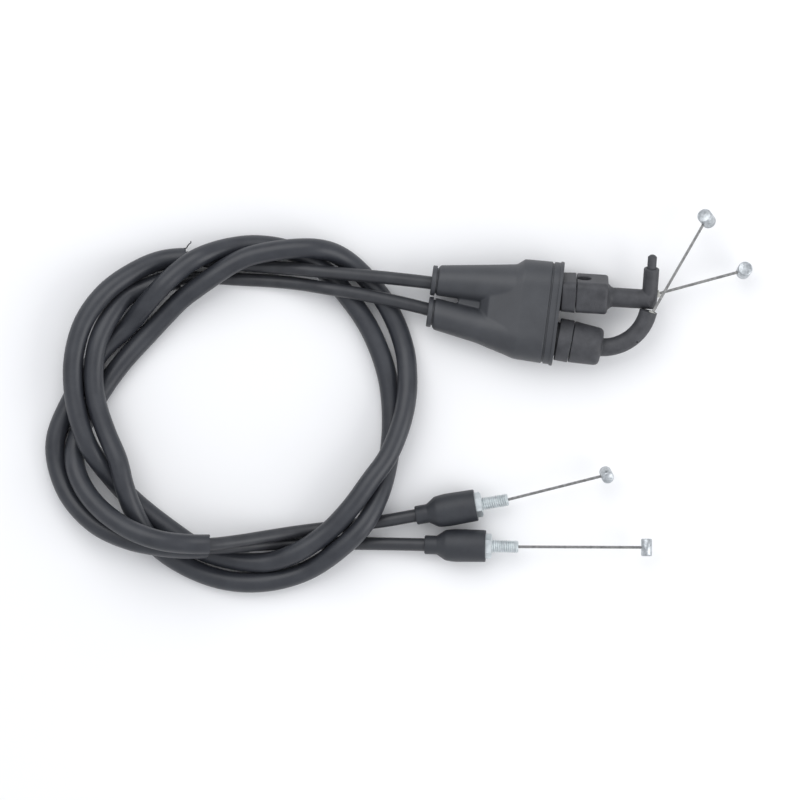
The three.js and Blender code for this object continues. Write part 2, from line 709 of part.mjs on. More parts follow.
function twinBoot(frame, routes) {
  const lipEnd = -BOOT_LENGTH;
  const neck = lipEnd + BOOT_LIP_LENGTH;
  const sleeveFrom = neck + BOOT_LIP_GROOVE;
  const chamferTo = -BOOT_STEP_AT + BOOT_CHAMFER;
  const bodyThick = BOOT_THICK - 1;
  const wide = [STEP_CENTRES.bent, STEP_CENTRES.pin];
  const grooveFrom = -RIM_BAND - RIM_GROOVE;
  const bandWidth = BOOT_MOUTH_WIDTH - 1;
  const grooveSection = (x) => stadium(x, bandWidth - 1.4, bodyThick - 1.4);
  const parts = [
    skin(roundSection(-BOOT_STEP_AT, BOOT_STEP_THICK, wide), stadium(chamferTo, BOOT_BODY_WIDTH, bodyThick)),
    skin(stadium(chamferTo, BOOT_BODY_WIDTH, bodyThick), stadium(grooveFrom, bandWidth, bodyThick)),
    skin(grooveSection(grooveFrom - 0.1), grooveSection(-RIM_BAND + 0.1)),
    skin(stadium(-RIM_BAND, bandWidth, bodyThick), stadium(-RIM_BEAD, bandWidth, bodyThick)),
    skin(stadium(-RIM_BEAD - 0.1, BOOT_MOUTH_WIDTH, BOOT_THICK), stadium(0, BOOT_MOUTH_WIDTH, BOOT_THICK)),
    skin(roundSection(-WEB_START, WEB_THICK, [0, 2]), roundSection(-WEB_END, WEB_THICK, [-4, 5])),
    skin(roundSection(-WEB_END, WEB_THICK, [-4, 5]), roundSection(-BOOT_STEP_AT, BOOT_STEP_THICK - 3, wide)),
  ];
  for (const side of ['pin', 'bent']) {
    const lip = [LIP_CENTRES[side]];
    const grooveRound = (x) => roundSection(x, BOOT_LIP_D - 2, lip);
    parts.push(
      skin(
        roundSection(lipEnd, BOOT_LIP_D - 1, lip),
        roundSection(lipEnd + 0.5, BOOT_LIP_D, lip),
        roundSection(neck, BOOT_LIP_D, lip),
      ),
      skin(grooveRound(neck - 0.1), grooveRound(sleeveFrom + 0.1)),
      skin(
        roundSection(sleeveFrom, BOOT_LIP_D - 1.2, lip),
        roundSection(sleeveFrom + 1, BOOT_LIP_D - 0.2, lip),
        waistSection(side),
      ),
      skin(waistSection(side), roundSection(-BOOT_STEP_AT + 0.2, BOOT_STEP_THICK, [STEP_CENTRES[side]])),
    );
  }
  const shell = joined(...parts);

  const hollow = 2 * BOOT_WALL;
  const mouthHollow = BOOT_THICK - hollow;
  const hollows = [
    skin(
      stadium(1, BOOT_MOUTH_WIDTH - hollow, mouthHollow),
      stadium(-RIM_BAND, BOOT_MOUTH_WIDTH - hollow - 0.4, mouthHollow - 1.4),
    ),
    skin(
      stadium(-RIM_BAND + 0.1, BOOT_MOUTH_WIDTH - hollow - 2.4, bodyThick - hollow - 1.4),
      stadium(chamferTo, BOOT_BODY_WIDTH - hollow, bodyThick - hollow - 0.4),
    ),
    skin(
      stadium(chamferTo + 0.1, BOOT_BODY_WIDTH - hollow, bodyThick - hollow - 0.4),
      roundSection(-BOOT_STEP_AT, BOOT_STEP_THICK - hollow, wide),
    ),
  ];
  for (const side of ['pin', 'bent']) {
    hollows.push(
      skin(
        roundSection(sleeveFrom + 2.5, BOOT_LIP_D - hollow, [LIP_CENTRES[side]]),
        waistSection(side, hollow),
      ),
      skin(
        waistSection(side, hollow),
        roundSection(-BOOT_STEP_AT + 0.1, BOOT_STEP_THICK - hollow, [STEP_CENTRES[side]]),
      ),
    );
    hollows.push(conduitHole(routes[side], frame));
  }
  return placed(frame, piece('twin_boot', cut(shell, ...hollows), rubber));
}

// The hole through a lip of the twin boot follows the conduit that fills it
function conduitHole(route, frame) {
  const toBoot = frame.clone().invert();
  const length = route.getLength();
  const inside = (distance) => route.getPointAt(distance / length).applyMatrix4(toBoot);
  const from = inside(24);
  const to = inside(40);
  const lip = -BOOT_LENGTH;
  const slope = new THREE.Vector3().subVectors(to, from).divideScalar(to.x - from.x);
  const start = to.clone().addScaledVector(slope, lip - 3 - to.x);
  const end = to.clone().addScaledVector(slope, lip + BOOT_LIP_LENGTH + 6 - to.x);
  const hole = rod(CONDUIT_D + 2 * SLIP + 0.6, 0, start.distanceTo(end), 16);
  return hole.applyMatrix4(frameTowards(start, end));
}

// ---------------------------------------------------------------- throttle-body adjusters

function adjusterFrame(neck) {
  const shoulder = ADJUSTER_NECK_LENGTH + ADJUSTER_CONE_LENGTH + BULGE_LENGTH;
  const height = ADJUSTER_BOOT_D / 2 + 0.1 - shoulder * Math.sin(radians(ADJUSTER_TILT));
  return frameAt(neck.x, neck.y, height, neck.heading, ADJUSTER_TILT);
}

function adjuster(name, frame, end) {
  const nutFrom = ADJUSTER_BOOT_LENGTH + NUT_SHOWING - NUT_THICK;
  const innerNutFrom = nutFrom - NUT_THICK - JOINT_GAP;
  const cupTo = innerNutFrom - JOINT_GAP;
  const cupRadius = CONDUIT_D / 2 + SLIP + CUP_WALL;
  const studBody = joined(
    turned([
      [CUP_START, 0],
      [CUP_START, cupRadius],
      [cupTo - 0.8, cupRadius],
      [cupTo, cupRadius - 0.8],
      [cupTo, 0],
    ], 20),
    turned([
      [cupTo - 1, 0],
      [cupTo - 1, STUD_D / 2],
      [ADJUSTER_LENGTH - 0.7, STUD_D / 2],
      [ADJUSTER_LENGTH, STUD_D / 2 - 0.7],
      [ADJUSTER_LENGTH, 0],
    ], 20),
  );
  const stud = cut(
    studBody,
    rod(CONDUIT_D + 2 * SLIP, CUP_START - 1, CUP_START + CUP_DEPTH, 16),
    wireHole(end, frame, WIRE_D + 2 * SLIP, BODY_BORE),
  );
  const nutBore = (from) => rod(STUD_D + 2 * SLIP, from - 1, from + NUT_THICK + 1, 20);
  const nut = (from) => cut(hexRod(NUT_AF, from, from + NUT_THICK), nutBore(from));

  const coneTo = ADJUSTER_NECK_LENGTH + ADJUSTER_CONE_LENGTH;
  const bulgeAt = coneTo + BULGE_LENGTH;
  const wall = ADJUSTER_BOOT_WALL;
  const bore = CONDUIT_D / 2 + SLIP;
  const neckRadius = bore + ADJUSTER_NECK_WALL;
  const boot = turned([
    [0, bore],
    [0, neckRadius],
    [ADJUSTER_NECK_LENGTH, neckRadius],
    [coneTo, ADJUSTER_BOOT_D / 2 - 0.5],
    [bulgeAt, ADJUSTER_BOOT_D / 2],
    [ADJUSTER_BOOT_LENGTH, ADJUSTER_BOOT_MOUTH_D / 2],
    [ADJUSTER_BOOT_LENGTH, ADJUSTER_BOOT_MOUTH_D / 2 - wall],
    [bulgeAt, ADJUSTER_BOOT_D / 2 - wall],
    [coneTo + 0.5, ADJUSTER_BOOT_D / 2 - 0.6 - wall],
    [ADJUSTER_NECK_LENGTH + 1, bore],
    [0, bore],
  ], 24);
  return placed(
    frame,
    piece(`${name}_stud`, stud, zinc),
    piece(`${name}_inner_nut`, nut(innerNutFrom), zinc),
    piece(`${name}_outer_nut`, nut(nutFrom), zinc),
    piece(`${name}_adjuster_boot`, boot, rubber),
  );
}

// ---------------------------------------------------------------- the whole pair

const pinHead = frameAt(PIN_FITTING.x, PIN_FITTING.y, AXIS_HEIGHT, PIN_FITTING.heading, 0, BLOCK_ROLL);
const bentHead = frameAt(BENT_FITTING.x, BENT_FITTING.y, AXIS_HEIGHT, BENT_FITTING.heading, 0, ELBOW_ROLL);
const bootFrame = frameAt(BOOT_MOUTH.x, BOOT_MOUTH.y, AXIS_HEIGHT, BOOT_MOUTH.heading);
const pinTail = adjusterFrame(PIN_NECK);
const bentTail = adjusterFrame(BENT_NECK);

const pinRoute = cableRoute(pinHead, PIN_ROUTE, pinTail);
const bentRoute = cableRoute(bentHead, BENT_ROUTE, bentTail);

// Where each inner wire comes out, in the layout's own frame
const stemFrame = frameAt(PIN_FITTING.x, PIN_FITTING.y, AXIS_HEIGHT, PIN_FITTING.heading);
const pinExit = pointIn(stemFrame, STEM_END, PIN_WIRE_OFFSET.across, PIN_WIRE_OFFSET.up);
const elbowTip = elbowPath.at(ELBOW_SWEEP);
const elbowFrame = bentHead.clone()
  .multiply(frameAt(elbowTip.x, elbowTip.y, 0, ELBOW_TURN_IN + ELBOW_SWEEP));
const bentExit = pointIn(elbowFrame, 0, BENT_WIRE_OFFSET.across, BENT_WIRE_OFFSET.up);
const pinThrottle = wireEnd(pinExit, PIN_NIPPLE, NIPPLE_D);
const bentThrottle = wireEnd(bentExit, BENT_NIPPLE, NIPPLE_D);
const pinBody = wireEnd(pointIn(pinTail, ADJUSTER_LENGTH), PIN_BODY_NIPPLE, BODY_NIPPLE_D);
const bentBody = wireEnd(pointIn(bentTail, ADJUSTER_LENGTH), BENT_BODY_NIPPLE, BODY_NIPPLE_D);

const layout = new THREE.Group();
layout.position.set(...LAYOUT_SHIFT);
layout.add(
  twinBoot(bootFrame, { pin: pinRoute, bent: bentRoute }),
  headAdjuster('pin', pinHead),
  headAdjuster('bent', bentHead),
  pinCollar(pinHead),
  bentCollar(bentHead),
  pinFitting(pinHead, pinThrottle),
  bentFitting(bentHead, bentThrottle),
  guideLiner('pin_guide', pinThrottle),
  guideLiner('bent_guide', bentThrottle),
  ...conduitAndSleeve('pin', pinRoute, PIN_SLEEVE),
  ...conduitAndSleeve('bent', bentRoute, BENT_SLEEVE),
  adjuster('pin', pinTail, pinBody),
  adjuster('bent', bentTail, bentBody),
  ...wirePieces('pin_throttle', pinThrottle, THROTTLE_TAIL, NIPPLE_D, NIPPLE_LENGTH),
  ...wirePieces('bent_throttle', bentThrottle, THROTTLE_TAIL, NIPPLE_D, NIPPLE_LENGTH),
  ...wirePieces('pin_body', pinBody, BODY_TAIL, BODY_NIPPLE_D, BODY_NIPPLE_LENGTH),
  ...wirePieces('bent_body', bentBody, BODY_TAIL, BODY_NIPPLE_D, BODY_NIPPLE_LENGTH),
);

export default layout;
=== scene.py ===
# A pair of motorcycle throttle cables on a table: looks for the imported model.
# Shapes are drawn in millimetres in the frame of their own fitting, then placed in metres.
import math

import bmesh
import bpy
import numpy as np
from mathutils import Matrix, Vector


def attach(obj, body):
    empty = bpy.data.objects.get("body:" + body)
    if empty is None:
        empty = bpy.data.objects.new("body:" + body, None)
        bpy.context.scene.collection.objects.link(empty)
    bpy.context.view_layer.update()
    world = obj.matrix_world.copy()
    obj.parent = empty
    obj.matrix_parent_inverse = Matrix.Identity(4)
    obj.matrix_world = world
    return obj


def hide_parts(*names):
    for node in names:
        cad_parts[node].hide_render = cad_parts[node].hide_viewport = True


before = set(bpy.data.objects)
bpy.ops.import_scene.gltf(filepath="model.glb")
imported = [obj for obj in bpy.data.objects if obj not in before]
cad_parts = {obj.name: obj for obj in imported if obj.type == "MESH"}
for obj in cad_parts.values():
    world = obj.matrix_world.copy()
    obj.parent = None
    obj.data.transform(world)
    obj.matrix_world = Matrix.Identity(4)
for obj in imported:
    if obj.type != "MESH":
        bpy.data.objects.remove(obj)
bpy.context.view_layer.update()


scene = bpy.context.scene

# ------------------------------------------------------------------ camera

VIEW_WIDTH = 0.36866  # metres across the picture at the height of the fittings
CAMERA_HEIGHT = 3.0
HEAD_HEIGHT = 0.012  # how high the fittings lie over the table, in metres
SHIFT = Vector((0.565, 0.57, 0.0))  # puts the origin under the middle of the pair, in millimetres

camera_data = bpy.data.cameras.new("overhead_camera")
camera_data.sensor_width = 36.0
camera_data.lens = 36.0 * (CAMERA_HEIGHT - HEAD_HEIGHT) / VIEW_WIDTH
camera_data.clip_end = 20.0
camera = bpy.data.objects.new("overhead_camera", camera_data)
camera.location = (SHIFT.x * 0.001, SHIFT.y * 0.001, CAMERA_HEIGHT)
scene.collection.objects.link(camera)
scene.camera = camera

# ------------------------------------------------------------------ sizes, in millimetres

JOINT_GAP = 0.3
SLIP = 0.3
CONDUIT_D = 6.0
SLEEVE_D = 9.0
SLEEVE_WALL = 1.1
ROPE_D = 1.34  # across the strands of an inner wire
THROTTLE_TAIL = 14.0
BODY_TAIL = 3.5
FERRULE_LENGTH = 12.0
FERRULE_FLOOR = 1.0
SCREW_BEHIND = 24.7
SCREW_D = 7.0
COLLAR_START = 1.1
COLLAR_END = 7.5
CUP_START = 9.0
CUP_DEPTH = 9.0
BOOT_SLIDE_ROOM = 16.0
ADJUSTER_LENGTH = 43.4
ADJUSTER_TILT = 3.0  # degrees that an adjuster's tip points up
BARREL_AT = 14.5  # where an adjuster boot rests on the table, and its radius there
BARREL_RADIUS = 7.7
CUP_END = 20.5
NUT_ACROSS = 10
NUT_THICK = 5
NUT_BORE = 6.3
NUTS_START = {"outer": 26.1, "inner": 20.8}
THREAD_ROWS = 9  # rows of the stud's mesh in a millimetre of thread
STEM_END = 45.3
POST_AT = 41.7
WIRE_BORE = 2.1
SCREW_HOLE = SCREW_D + 2 * SLIP
SCREW_HOLE_END = 14.8
BLOCK_LENGTH = 14.6
BARREL_LENGTH = 14
GUIDE_SEAT = 4.0
ELBOW_RADIUS = 21.2
ELBOW_LEAD = 8.5  # degrees that the elbow leaves its barrel to the left
ELBOW_SWEEP = 78.0


def place(x, y, z, heading, pitch=0.0, roll=0.0):
    """A frame whose X axis has this heading and pitch, rolled about itself."""
    turn = (
        Matrix.Rotation(math.radians(heading), 4, "Z")
        @ Matrix.Rotation(-math.radians(pitch), 4, "Y")
        @ Matrix.Rotation(math.radians(roll), 4, "X")
    )
    return Matrix.Translation((x, y, z)) @ turn


def place_towards(start, end):
    """A frame at start whose X axis points at end."""
    turn = Vector((1, 0, 0)).rotation_difference(end - start)
    return Matrix.Translation(start) @ turn.to_matrix().to_4x4()


def adjuster_place(x, y, heading):
    """An adjuster whose tip is at x and y, with its boot lying on the table."""
    height = BARREL_RADIUS - BARREL_AT * math.sin(math.radians(ADJUSTER_TILT))
    reach = ADJUSTER_LENGTH * math.cos(math.radians(ADJUSTER_TILT))
    turn = math.radians(heading)
    return place(x - reach * math.cos(turn), y - reach * math.sin(turn), height, heading, ADJUSTER_TILT)


PIN_STEM = place(73.3, 48.9, 12, -3.5)
PIN_HEAD = place(73.3, 48.9, 12, -3.5, 0, 18)
BENT_HEAD = place(71.4, 28.3, 12, -10.5, 0, 10)
BOOT = place(72.95, 39.7, 12, -7.2)
PIN_TAIL = adjuster_place(50, -45.9, 9.8)
BENT_TAIL = adjuster_place(54.7, -67.7, -1.2)

# The routes of the two cables between their straight ends, in metres
PIN_ROUTE = [
    (0.024, 0.0525, 0.012), (0.014, 0.054, 0.012), (-0.005, 0.0562, 0.0124), (-0.02, 0.0576, 0.013),
    (-0.033, 0.0588, 0.013), (-0.044, 0.06, 0.0115), (-0.057, 0.0612, 0.0064), (-0.07, 0.0622, 0.0037),
    (-0.084, 0.0632, 0.0033), (-0.097, 0.0656, 0.0047), (-0.1105, 0.0644, 0.006),
    (-0.1242, 0.0582, 0.0106), (-0.136, 0.0493, 0.0143), (-0.1456, 0.036, 0.0146),
    (-0.1502, 0.02, 0.0144), (-0.1504, 0.005, 0.0144), (-0.1476, -0.01, 0.0149),
    (-0.143, -0.022, 0.0147), (-0.1332, -0.0355, 0.0093), (-0.1226, -0.0468, 0.0052),
    (-0.1054, -0.0604, 0.0049), (-0.0916, -0.0694, 0.0047), (-0.076, -0.074, 0.0048),
    (-0.061, -0.0748, 0.0075), (-0.0475, -0.0702, 0.0116), (-0.0334, -0.0608, 0.0134),
    (-0.0226, -0.0494, 0.016), (-0.0138, -0.0374, 0.0166), (-0.0054, -0.0256, 0.0146),
    (0.0008, -0.01, 0.0134), (0.0032, 0.0025, 0.0112), (0.0034, 0.012, 0.0088), (0.0024, 0.022, 0.006),
    (-0.0015, 0.0345, 0.0047), (-0.0083, 0.0472, 0.0046), (-0.0163, 0.057, 0.0047),
    (-0.0236, 0.0638, 0.006), (-0.031, 0.068, 0.0096), (-0.039, 0.0698, 0.0132),
    (-0.049, 0.0697, 0.0144), (-0.0595, 0.0684, 0.0144), (-0.07, 0.066, 0.0143),
    (-0.078, 0.0622, 0.014), (-0.086, 0.057, 0.0134), (-0.0935, 0.0518, 0.0114),
    (-0.101, 0.0462, 0.0092), (-0.1082, 0.039, 0.007), (-0.1154, 0.0314, 0.0052),
    (-0.129, 0.0164, 0.0047), (-0.138, 0.0038, 0.0048), (-0.1452, -0.0086, 0.0047),
    (-0.1499, -0.0215, 0.007), (-0.1496, -0.031, 0.0116), (-0.146, -0.0398, 0.0148),
    (-0.1402, -0.0476, 0.0184), (-0.132, -0.0546, 0.0226), (-0.122, -0.0604, 0.0262),
    (-0.11, -0.0644, 0.0273), (-0.098, -0.066, 0.0246), (-0.087, -0.0662, 0.0232),
    (-0.074, -0.0648, 0.018), (-0.062, -0.063, 0.012), (-0.05, -0.0612, 0.0076),
    (-0.036, -0.0594, 0.005),
]
BENT_ROUTE = [
    (0.0235, 0.0382, 0.012), (0.0128, 0.0418, 0.012), (-0.005, 0.0461, 0.0125),
    (-0.0224, 0.0496, 0.0127), (-0.033, 0.0513, 0.0125), (-0.045, 0.0534, 0.007),
    (-0.0576, 0.0548, 0.0036), (-0.075, 0.0558, 0.0032), (-0.09, 0.0566, 0.0036),
    (-0.1045, 0.0554, 0.0049), (-0.115, 0.0529, 0.0048), (-0.1258, 0.0484, 0.0062),
    (-0.1333, 0.0391, 0.0108), (-0.1388, 0.0274, 0.014), (-0.141, 0.014, 0.0143), (-0.14, 0.0, 0.0144),
    (-0.1356, -0.014, 0.0154), (-0.1297, -0.028, 0.0175), (-0.127, -0.039, 0.0173),
    (-0.1234, -0.0495, 0.015), (-0.115, -0.0646, 0.0087), (-0.1002, -0.076, 0.0048),
    (-0.081, -0.0832, 0.0048), (-0.062, -0.084, 0.0047), (-0.044, -0.0792, 0.0062),
    (-0.029, -0.0696, 0.0124), (-0.0166, -0.0574, 0.0141), (-0.0096, -0.044, 0.01),
    (-0.0056, -0.029, 0.005), (-0.0038, -0.01, 0.0047), (-0.006, 0.0115, 0.0047),
    (-0.014, 0.0327, 0.0047), (-0.025, 0.0488, 0.0046), (-0.0375, 0.062, 0.0047),
    (-0.05, 0.0688, 0.0047), (-0.066, 0.0716, 0.005), (-0.081, 0.0698, 0.0086), (-0.094, 0.065, 0.0145),
    (-0.102, 0.0594, 0.0146), (-0.1095, 0.0524, 0.0148), (-0.1176, 0.0436, 0.0114),
    (-0.1258, 0.034, 0.006), (-0.138, 0.0224, 0.0047), (-0.1508, 0.002, 0.0047),
    (-0.1588, -0.017, 0.0047), (-0.1586, -0.029, 0.0048), (-0.1526, -0.0444, 0.0074),
    (-0.1404, -0.0572, 0.0122), (-0.125, -0.0643, 0.0179), (-0.11, -0.0674, 0.0182),
    (-0.098, -0.0686, 0.0152), (-0.085, -0.0682, 0.0136), (-0.071, -0.0672, 0.0092),
    (-0.058, -0.0664, 0.0048), (-0.045, -0.0664, 0.0033), (-0.025, -0.0662, 0.0044),
]
PIN_SLEEVE = (149.0, 812.0)
BENT_SLEEVE = (152.0, 822.0)

# ------------------------------------------------------------------ routes


def smooth_line(points, per_stretch=40):
    """A centripetal curve through the points, and the distance along it of each sample."""
    points = [np.array(p, float) for p in points]
    ends = [2 * points[0] - points[1]] + points + [2 * points[-1] - points[-2]]
    samples = []
    for p0, p1, p2, p3 in zip(ends, ends[1:], ends[2:], ends[3:]):
        d0, d1, d2 = (np.linalg.norm(b - a) ** 0.5 for a, b in ((p0, p1), (p1, p2), (p2, p3)))
        t1 = ((p1 - p0) / d0 - (p2 - p0) / (d0 + d1) + (p2 - p1) / d1) * d1
        t2 = ((p2 - p1) / d1 - (p3 - p1) / (d1 + d2) + (p3 - p2) / d2) * d1
        for step in range(per_stretch):
            t = step / per_stretch
            samples.append(
                p1 + t1 * t + (3 * p2 - 3 * p1 - 2 * t1 - t2) * t**2 + (2 * p1 - 2 * p2 + t1 + t2) * t**3
            )
    samples.append(points[-1])
    line = np.array(samples)
    lengths = np.linalg.norm(np.diff(line, axis=0), axis=1)
    return line, np.concatenate([[0.0], np.cumsum(lengths)])


def along(route, distances):
    line, marks = route
    return np.stack([np.interp(distances, marks, line[:, i]) for i in range(3)], axis=1)


def cable_route(head, points, tail):
    conduit_end = -SCREW_BEHIND - FERRULE_FLOOR - JOINT_GAP
    stops = [head @ Vector((conduit_end, 0, 0)), head @ Vector((conduit_end - FERRULE_LENGTH, 0, 0))]
    stops += [Vector(point) * 1000 for point in points]
    stops += [tail @ Vector((x, 0, 0)) for x in (-BOOT_SLIDE_ROOM, 0, CUP_START + CUP_DEPTH - JOINT_GAP)]
    return smooth_line(stops)


PIN_LINE = cable_route(PIN_HEAD, PIN_ROUTE, PIN_TAIL)
BENT_LINE = cable_route(BENT_HEAD, BENT_ROUTE, BENT_TAIL)

# ------------------------------------------------------------------ finishes


def finish(name, dark, light, roughness, metallic=0.0, patch=60.0, grain=2500.0, bump=0.15, **extra):
    """A finish that drifts between two colours, with a fine grained surface.
    patch and grain are how many patches and grains there are in a metre."""
    material = bpy.data.materials.new(name)
    material.use_nodes = True
    nodes, links = material.node_tree.nodes, material.node_tree.links
    shader = nodes["Principled BSDF"]
    shader.inputs["Metallic"].default_value = metallic
    for socket, value in extra.items():
        shader.inputs[socket.replace("_", " ")].default_value = value
    where = nodes.new("ShaderNodeTexCoord")
    cloud = nodes.new("ShaderNodeTexNoise")
    cloud.inputs["Scale"].default_value = patch
    cloud.inputs["Detail"].default_value = 5.0
    cloud.inputs["Roughness"].default_value = 0.6
    links.new(where.outputs["Object"], cloud.inputs["Vector"])
    tint = nodes.new("ShaderNodeValToRGB")
    tint.color_ramp.elements[0].position = 0.3
    tint.color_ramp.elements[0].color = (*dark, 1)
    tint.color_ramp.elements[1].position = 0.7
    tint.color_ramp.elements[1].color = (*light, 1)
    links.new(cloud.outputs["Fac"], tint.inputs["Fac"])
    links.new(tint.outputs["Color"], shader.inputs["Base Color"])
    specks = nodes.new("ShaderNodeTexNoise")
    specks.inputs["Scale"].default_value = grain
    specks.inputs["Detail"].default_value = 3.0
    links.new(where.outputs["Object"], specks.inputs["Vector"])
    sheen = nodes.new("ShaderNodeMapRange")
    sheen.inputs["To Min"].default_value = roughness - 0.09
    sheen.inputs["To Max"].default_value = roughness + 0.09
    links.new(cloud.outputs["Fac"], sheen.inputs["Value"])
    links.new(sheen.outputs["Result"], shader.inputs["Roughness"])
    relief = nodes.new("ShaderNodeBump")
    relief.inputs["Strength"].default_value = bump
    relief.inputs["Distance"].default_value = 0.0002
    links.new(specks.outputs["Fac"], relief.inputs["Height"])
    links.new(relief.outputs["Normal"], shader.inputs["Normal"])
    return material


boot_rubber = finish(
    "boot_rubber", (0.027, 0.029, 0.034), (0.042, 0.045, 0.051), 0.47,
    patch=60, bump=0.25, Specular_IOR_Level=0.6,
)
cover_rubber = finish(
    "cover_rubber", (0.019, 0.021, 0.026), (0.031, 0.034, 0.040), 0.5, patch=140, bump=0.35
)
sleeve_vinyl = finish(
    "sleeve_vinyl", (0.020, 0.022, 0.028), (0.033, 0.036, 0.043), 0.4, patch=90, bump=0.12
)
conduit_skin = finish(
    "conduit_skin", (0.020, 0.021, 0.025), (0.034, 0.036, 0.041), 0.42, patch=120, bump=0.12
)
moulded_nylon = finish(
    "moulded_nylon", (0.030, 0.031, 0.035), (0.055, 0.056, 0.062), 0.55, patch=220, grain=1800, bump=0.6
)
natural_nylon = finish(
    "natural_nylon", (0.42, 0.42, 0.39), (0.56, 0.56, 0.52), 0.45, patch=400, bump=0.1
)
bright_zinc = finish(
    "bright_zinc", (0.50, 0.54, 0.55), (0.72, 0.76, 0.77), 0.4, metallic=0.8, patch=260, grain=3500, bump=0.12
)
cast_zinc = finish(
    "cast_zinc", (0.30, 0.32, 0.33), (0.62, 0.65, 0.67), 0.36, metallic=0.9, patch=700, grain=2600, bump=0.3
)
steel_strand = finish(
    "steel_strand", (0.17, 0.17, 0.17), (0.36, 0.36, 0.35), 0.36,
    metallic=0.9, patch=700, grain=5000, bump=0.1,
)

# ------------------------------------------------------------------ meshes


def linked(name, data):
    thing = bpy.data.objects.new(name, data)
    scene.collection.objects.link(thing)
    return thing


def raw_mesh(name, points, faces):
    mesh = bpy.data.meshes.new(name)
    mesh.from_pydata([tuple(p) for p in points], [], faces)
    mesh.update()
    return linked(name, mesh)


def hull(points):
    """The convex solid around the points."""
    shape = bmesh.new()
    for point in points:
        shape.verts.new(point)
    result = bmesh.ops.convex_hull(shape, input=shape.verts)
    inside = [v for v in result["geom_interior"] + result["geom_unused"] if isinstance(v, bmesh.types.BMVert)]
    bmesh.ops.delete(shape, geom=list(set(inside)), context="VERTS")
    bmesh.ops.recalc_face_normals(shape, faces=shape.faces)
    mesh = bpy.data.meshes.new("hull")
    shape.to_mesh(mesh)
    shape.free()
    return linked("hull", mesh)


def turned(profile, sides=64):
    """A body turned about X from (x, radius) pairs: an open profile starts and ends on the axis."""
    rings, points, faces = [], [], []
    for x, r in profile:
        if r < 1e-6:
            rings.append([len(points)] * sides)
            points.append((x, 0, 0))
            continue
        rings.append(list(range(len(points), len(points) + sides)))
        for i in range(sides):
            angle = 2 * math.pi * i / sides
            points.append((x, r * math.cos(angle), r * math.sin(angle)))
    for lower, upper in zip(rings, rings[1:]):
        for i in range(sides):
            j = (i + 1) % sides
            corners = []
            for vertex in (lower[i], lower[j], upper[j], upper[i]):
                if vertex not in corners:
                    corners.append(vertex)
            if len(corners) > 2:
                faces.append(corners)
    return outward(raw_mesh("turned", points, faces))


def ring_body(profile, sides=64):
    """A hollow body turned about X: the profile closes on itself."""
    return turned(list(profile) + [profile[0]], sides)


def rod(diameter, x0, x1, sides=48):
    return turned([(x0, 0), (x0, diameter / 2), (x1, diameter / 2), (x1, 0)], sides)


def swept(points, radius, sides=40):
    """A round bar that follows the points."""
    points = [Vector(p) for p in points]
    tangents = [
        (points[min(i + 1, len(points) - 1)] - points[max(i - 1, 0)]).normalized() for i in range(len(points))
    ]
    across = tangents[0].orthogonal().normalized()
    vertices, faces = [], []
    for point, tangent in zip(points, tangents):
        across = (across - tangent * across.dot(tangent)).normalized()
        side = tangent.cross(across)
        for i in range(sides):
            angle = 2 * math.pi * i / sides
            vertices.append(point + radius * (math.cos(angle) * across + math.sin(angle) * side))
    for ring in range(len(points) - 1):
        for i in range(sides):
            a, b = ring * sides + i, ring * sides + (i + 1) % sides
            faces.append((a, b, b + sides, a + sides))
    last = (len(points) - 1) * sides
    faces.append(tuple(range(sides)))
    faces.append(tuple(range(last, last + sides)))
    return outward(raw_mesh("swept", vertices, faces))


def outward(thing, merge=1e-4):
    """Merges doubled points and turns every face outwards."""
    shape = bmesh.new()
    shape.from_mesh(thing.data)
    bmesh.ops.remove_doubles(shape, verts=shape.verts, dist=merge)
    bmesh.ops.dissolve_degenerate(shape, edges=shape.edges, dist=merge / 10)
    bmesh.ops.recalc_face_normals(shape, faces=shape.faces)
    shape.to_mesh(thing.data)
    shape.free()
    return thing


def settled(thing):
    """The object with its modifiers' result as its plain mesh."""
    bpy.context.view_layer.update()
    graph = bpy.context.evaluated_depsgraph_get()
    mesh = bpy.data.meshes.new_from_object(thing.evaluated_get(graph), depsgraph=graph)
    if thing.type == "MESH":
        thing.modifiers.clear()
        thing.data = mesh
        return thing
    plain = linked(thing.name + "_mesh", mesh)
    bpy.data.objects.remove(thing)
    return plain


def combined(first, others, operation):
    for other in others:
        change = first.modifiers.new(operation.lower(), "BOOLEAN")
        change.operation = operation
        change.solver = "MANIFOLD"
        change.object = other
    settled(first)
    for other in others:
        bpy.data.objects.remove(other)
    return first


def united(things):
    return combined(things[0], things[1:], "UNION")


def cut(thing, tools):
    return combined(thing, tools, "DIFFERENCE")


def softened(thing, voxel, rounds):
    """The same body with its corners and joints melted a little, as a moulding's are."""
    change = thing.modifiers.new("voxels", "REMESH")
    change.mode = "VOXEL"
    change.voxel_size = voxel
    settled(thing)
    change = thing.modifiers.new("smooth", "SMOOTH")
    change.factor = 0.5
    change.iterations = rounds
    return settled(thing)


def merged(things):
    """Several closed bodies as one piece."""
    shape = bmesh.new()
    for thing in things:
        shape.from_mesh(thing.data)
    for thing in things[1:]:
        bpy.data.objects.remove(thing)
    shape.to_mesh(things[0].data)
    shape.free()
    return things[0]


def moved(thing, matrix):
    thing.data.transform(matrix)
    return thing


def finished(name, thing, where, material, body, nodes, edge=35.0):
    """Places a finished piece in metres, parents it to the body it rides on and hides the model parts it
    stands for.
    """
    thing.data.transform(Matrix.Scale(0.001, 4) @ Matrix.Translation(SHIFT) @ where)
    thing.name = name
    thing.data.name = name
    thing.data.materials.clear()
    thing.data.materials.append(material)
    for face in thing.data.polygons:
        face.use_smooth = True
        face.material_index = 0
    thing.data.set_sharp_from_angle(angle=math.radians(edge))
    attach(thing, body)
    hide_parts(*nodes)
    return thing


# ------------------------------------------------------------------ geometry node helpers


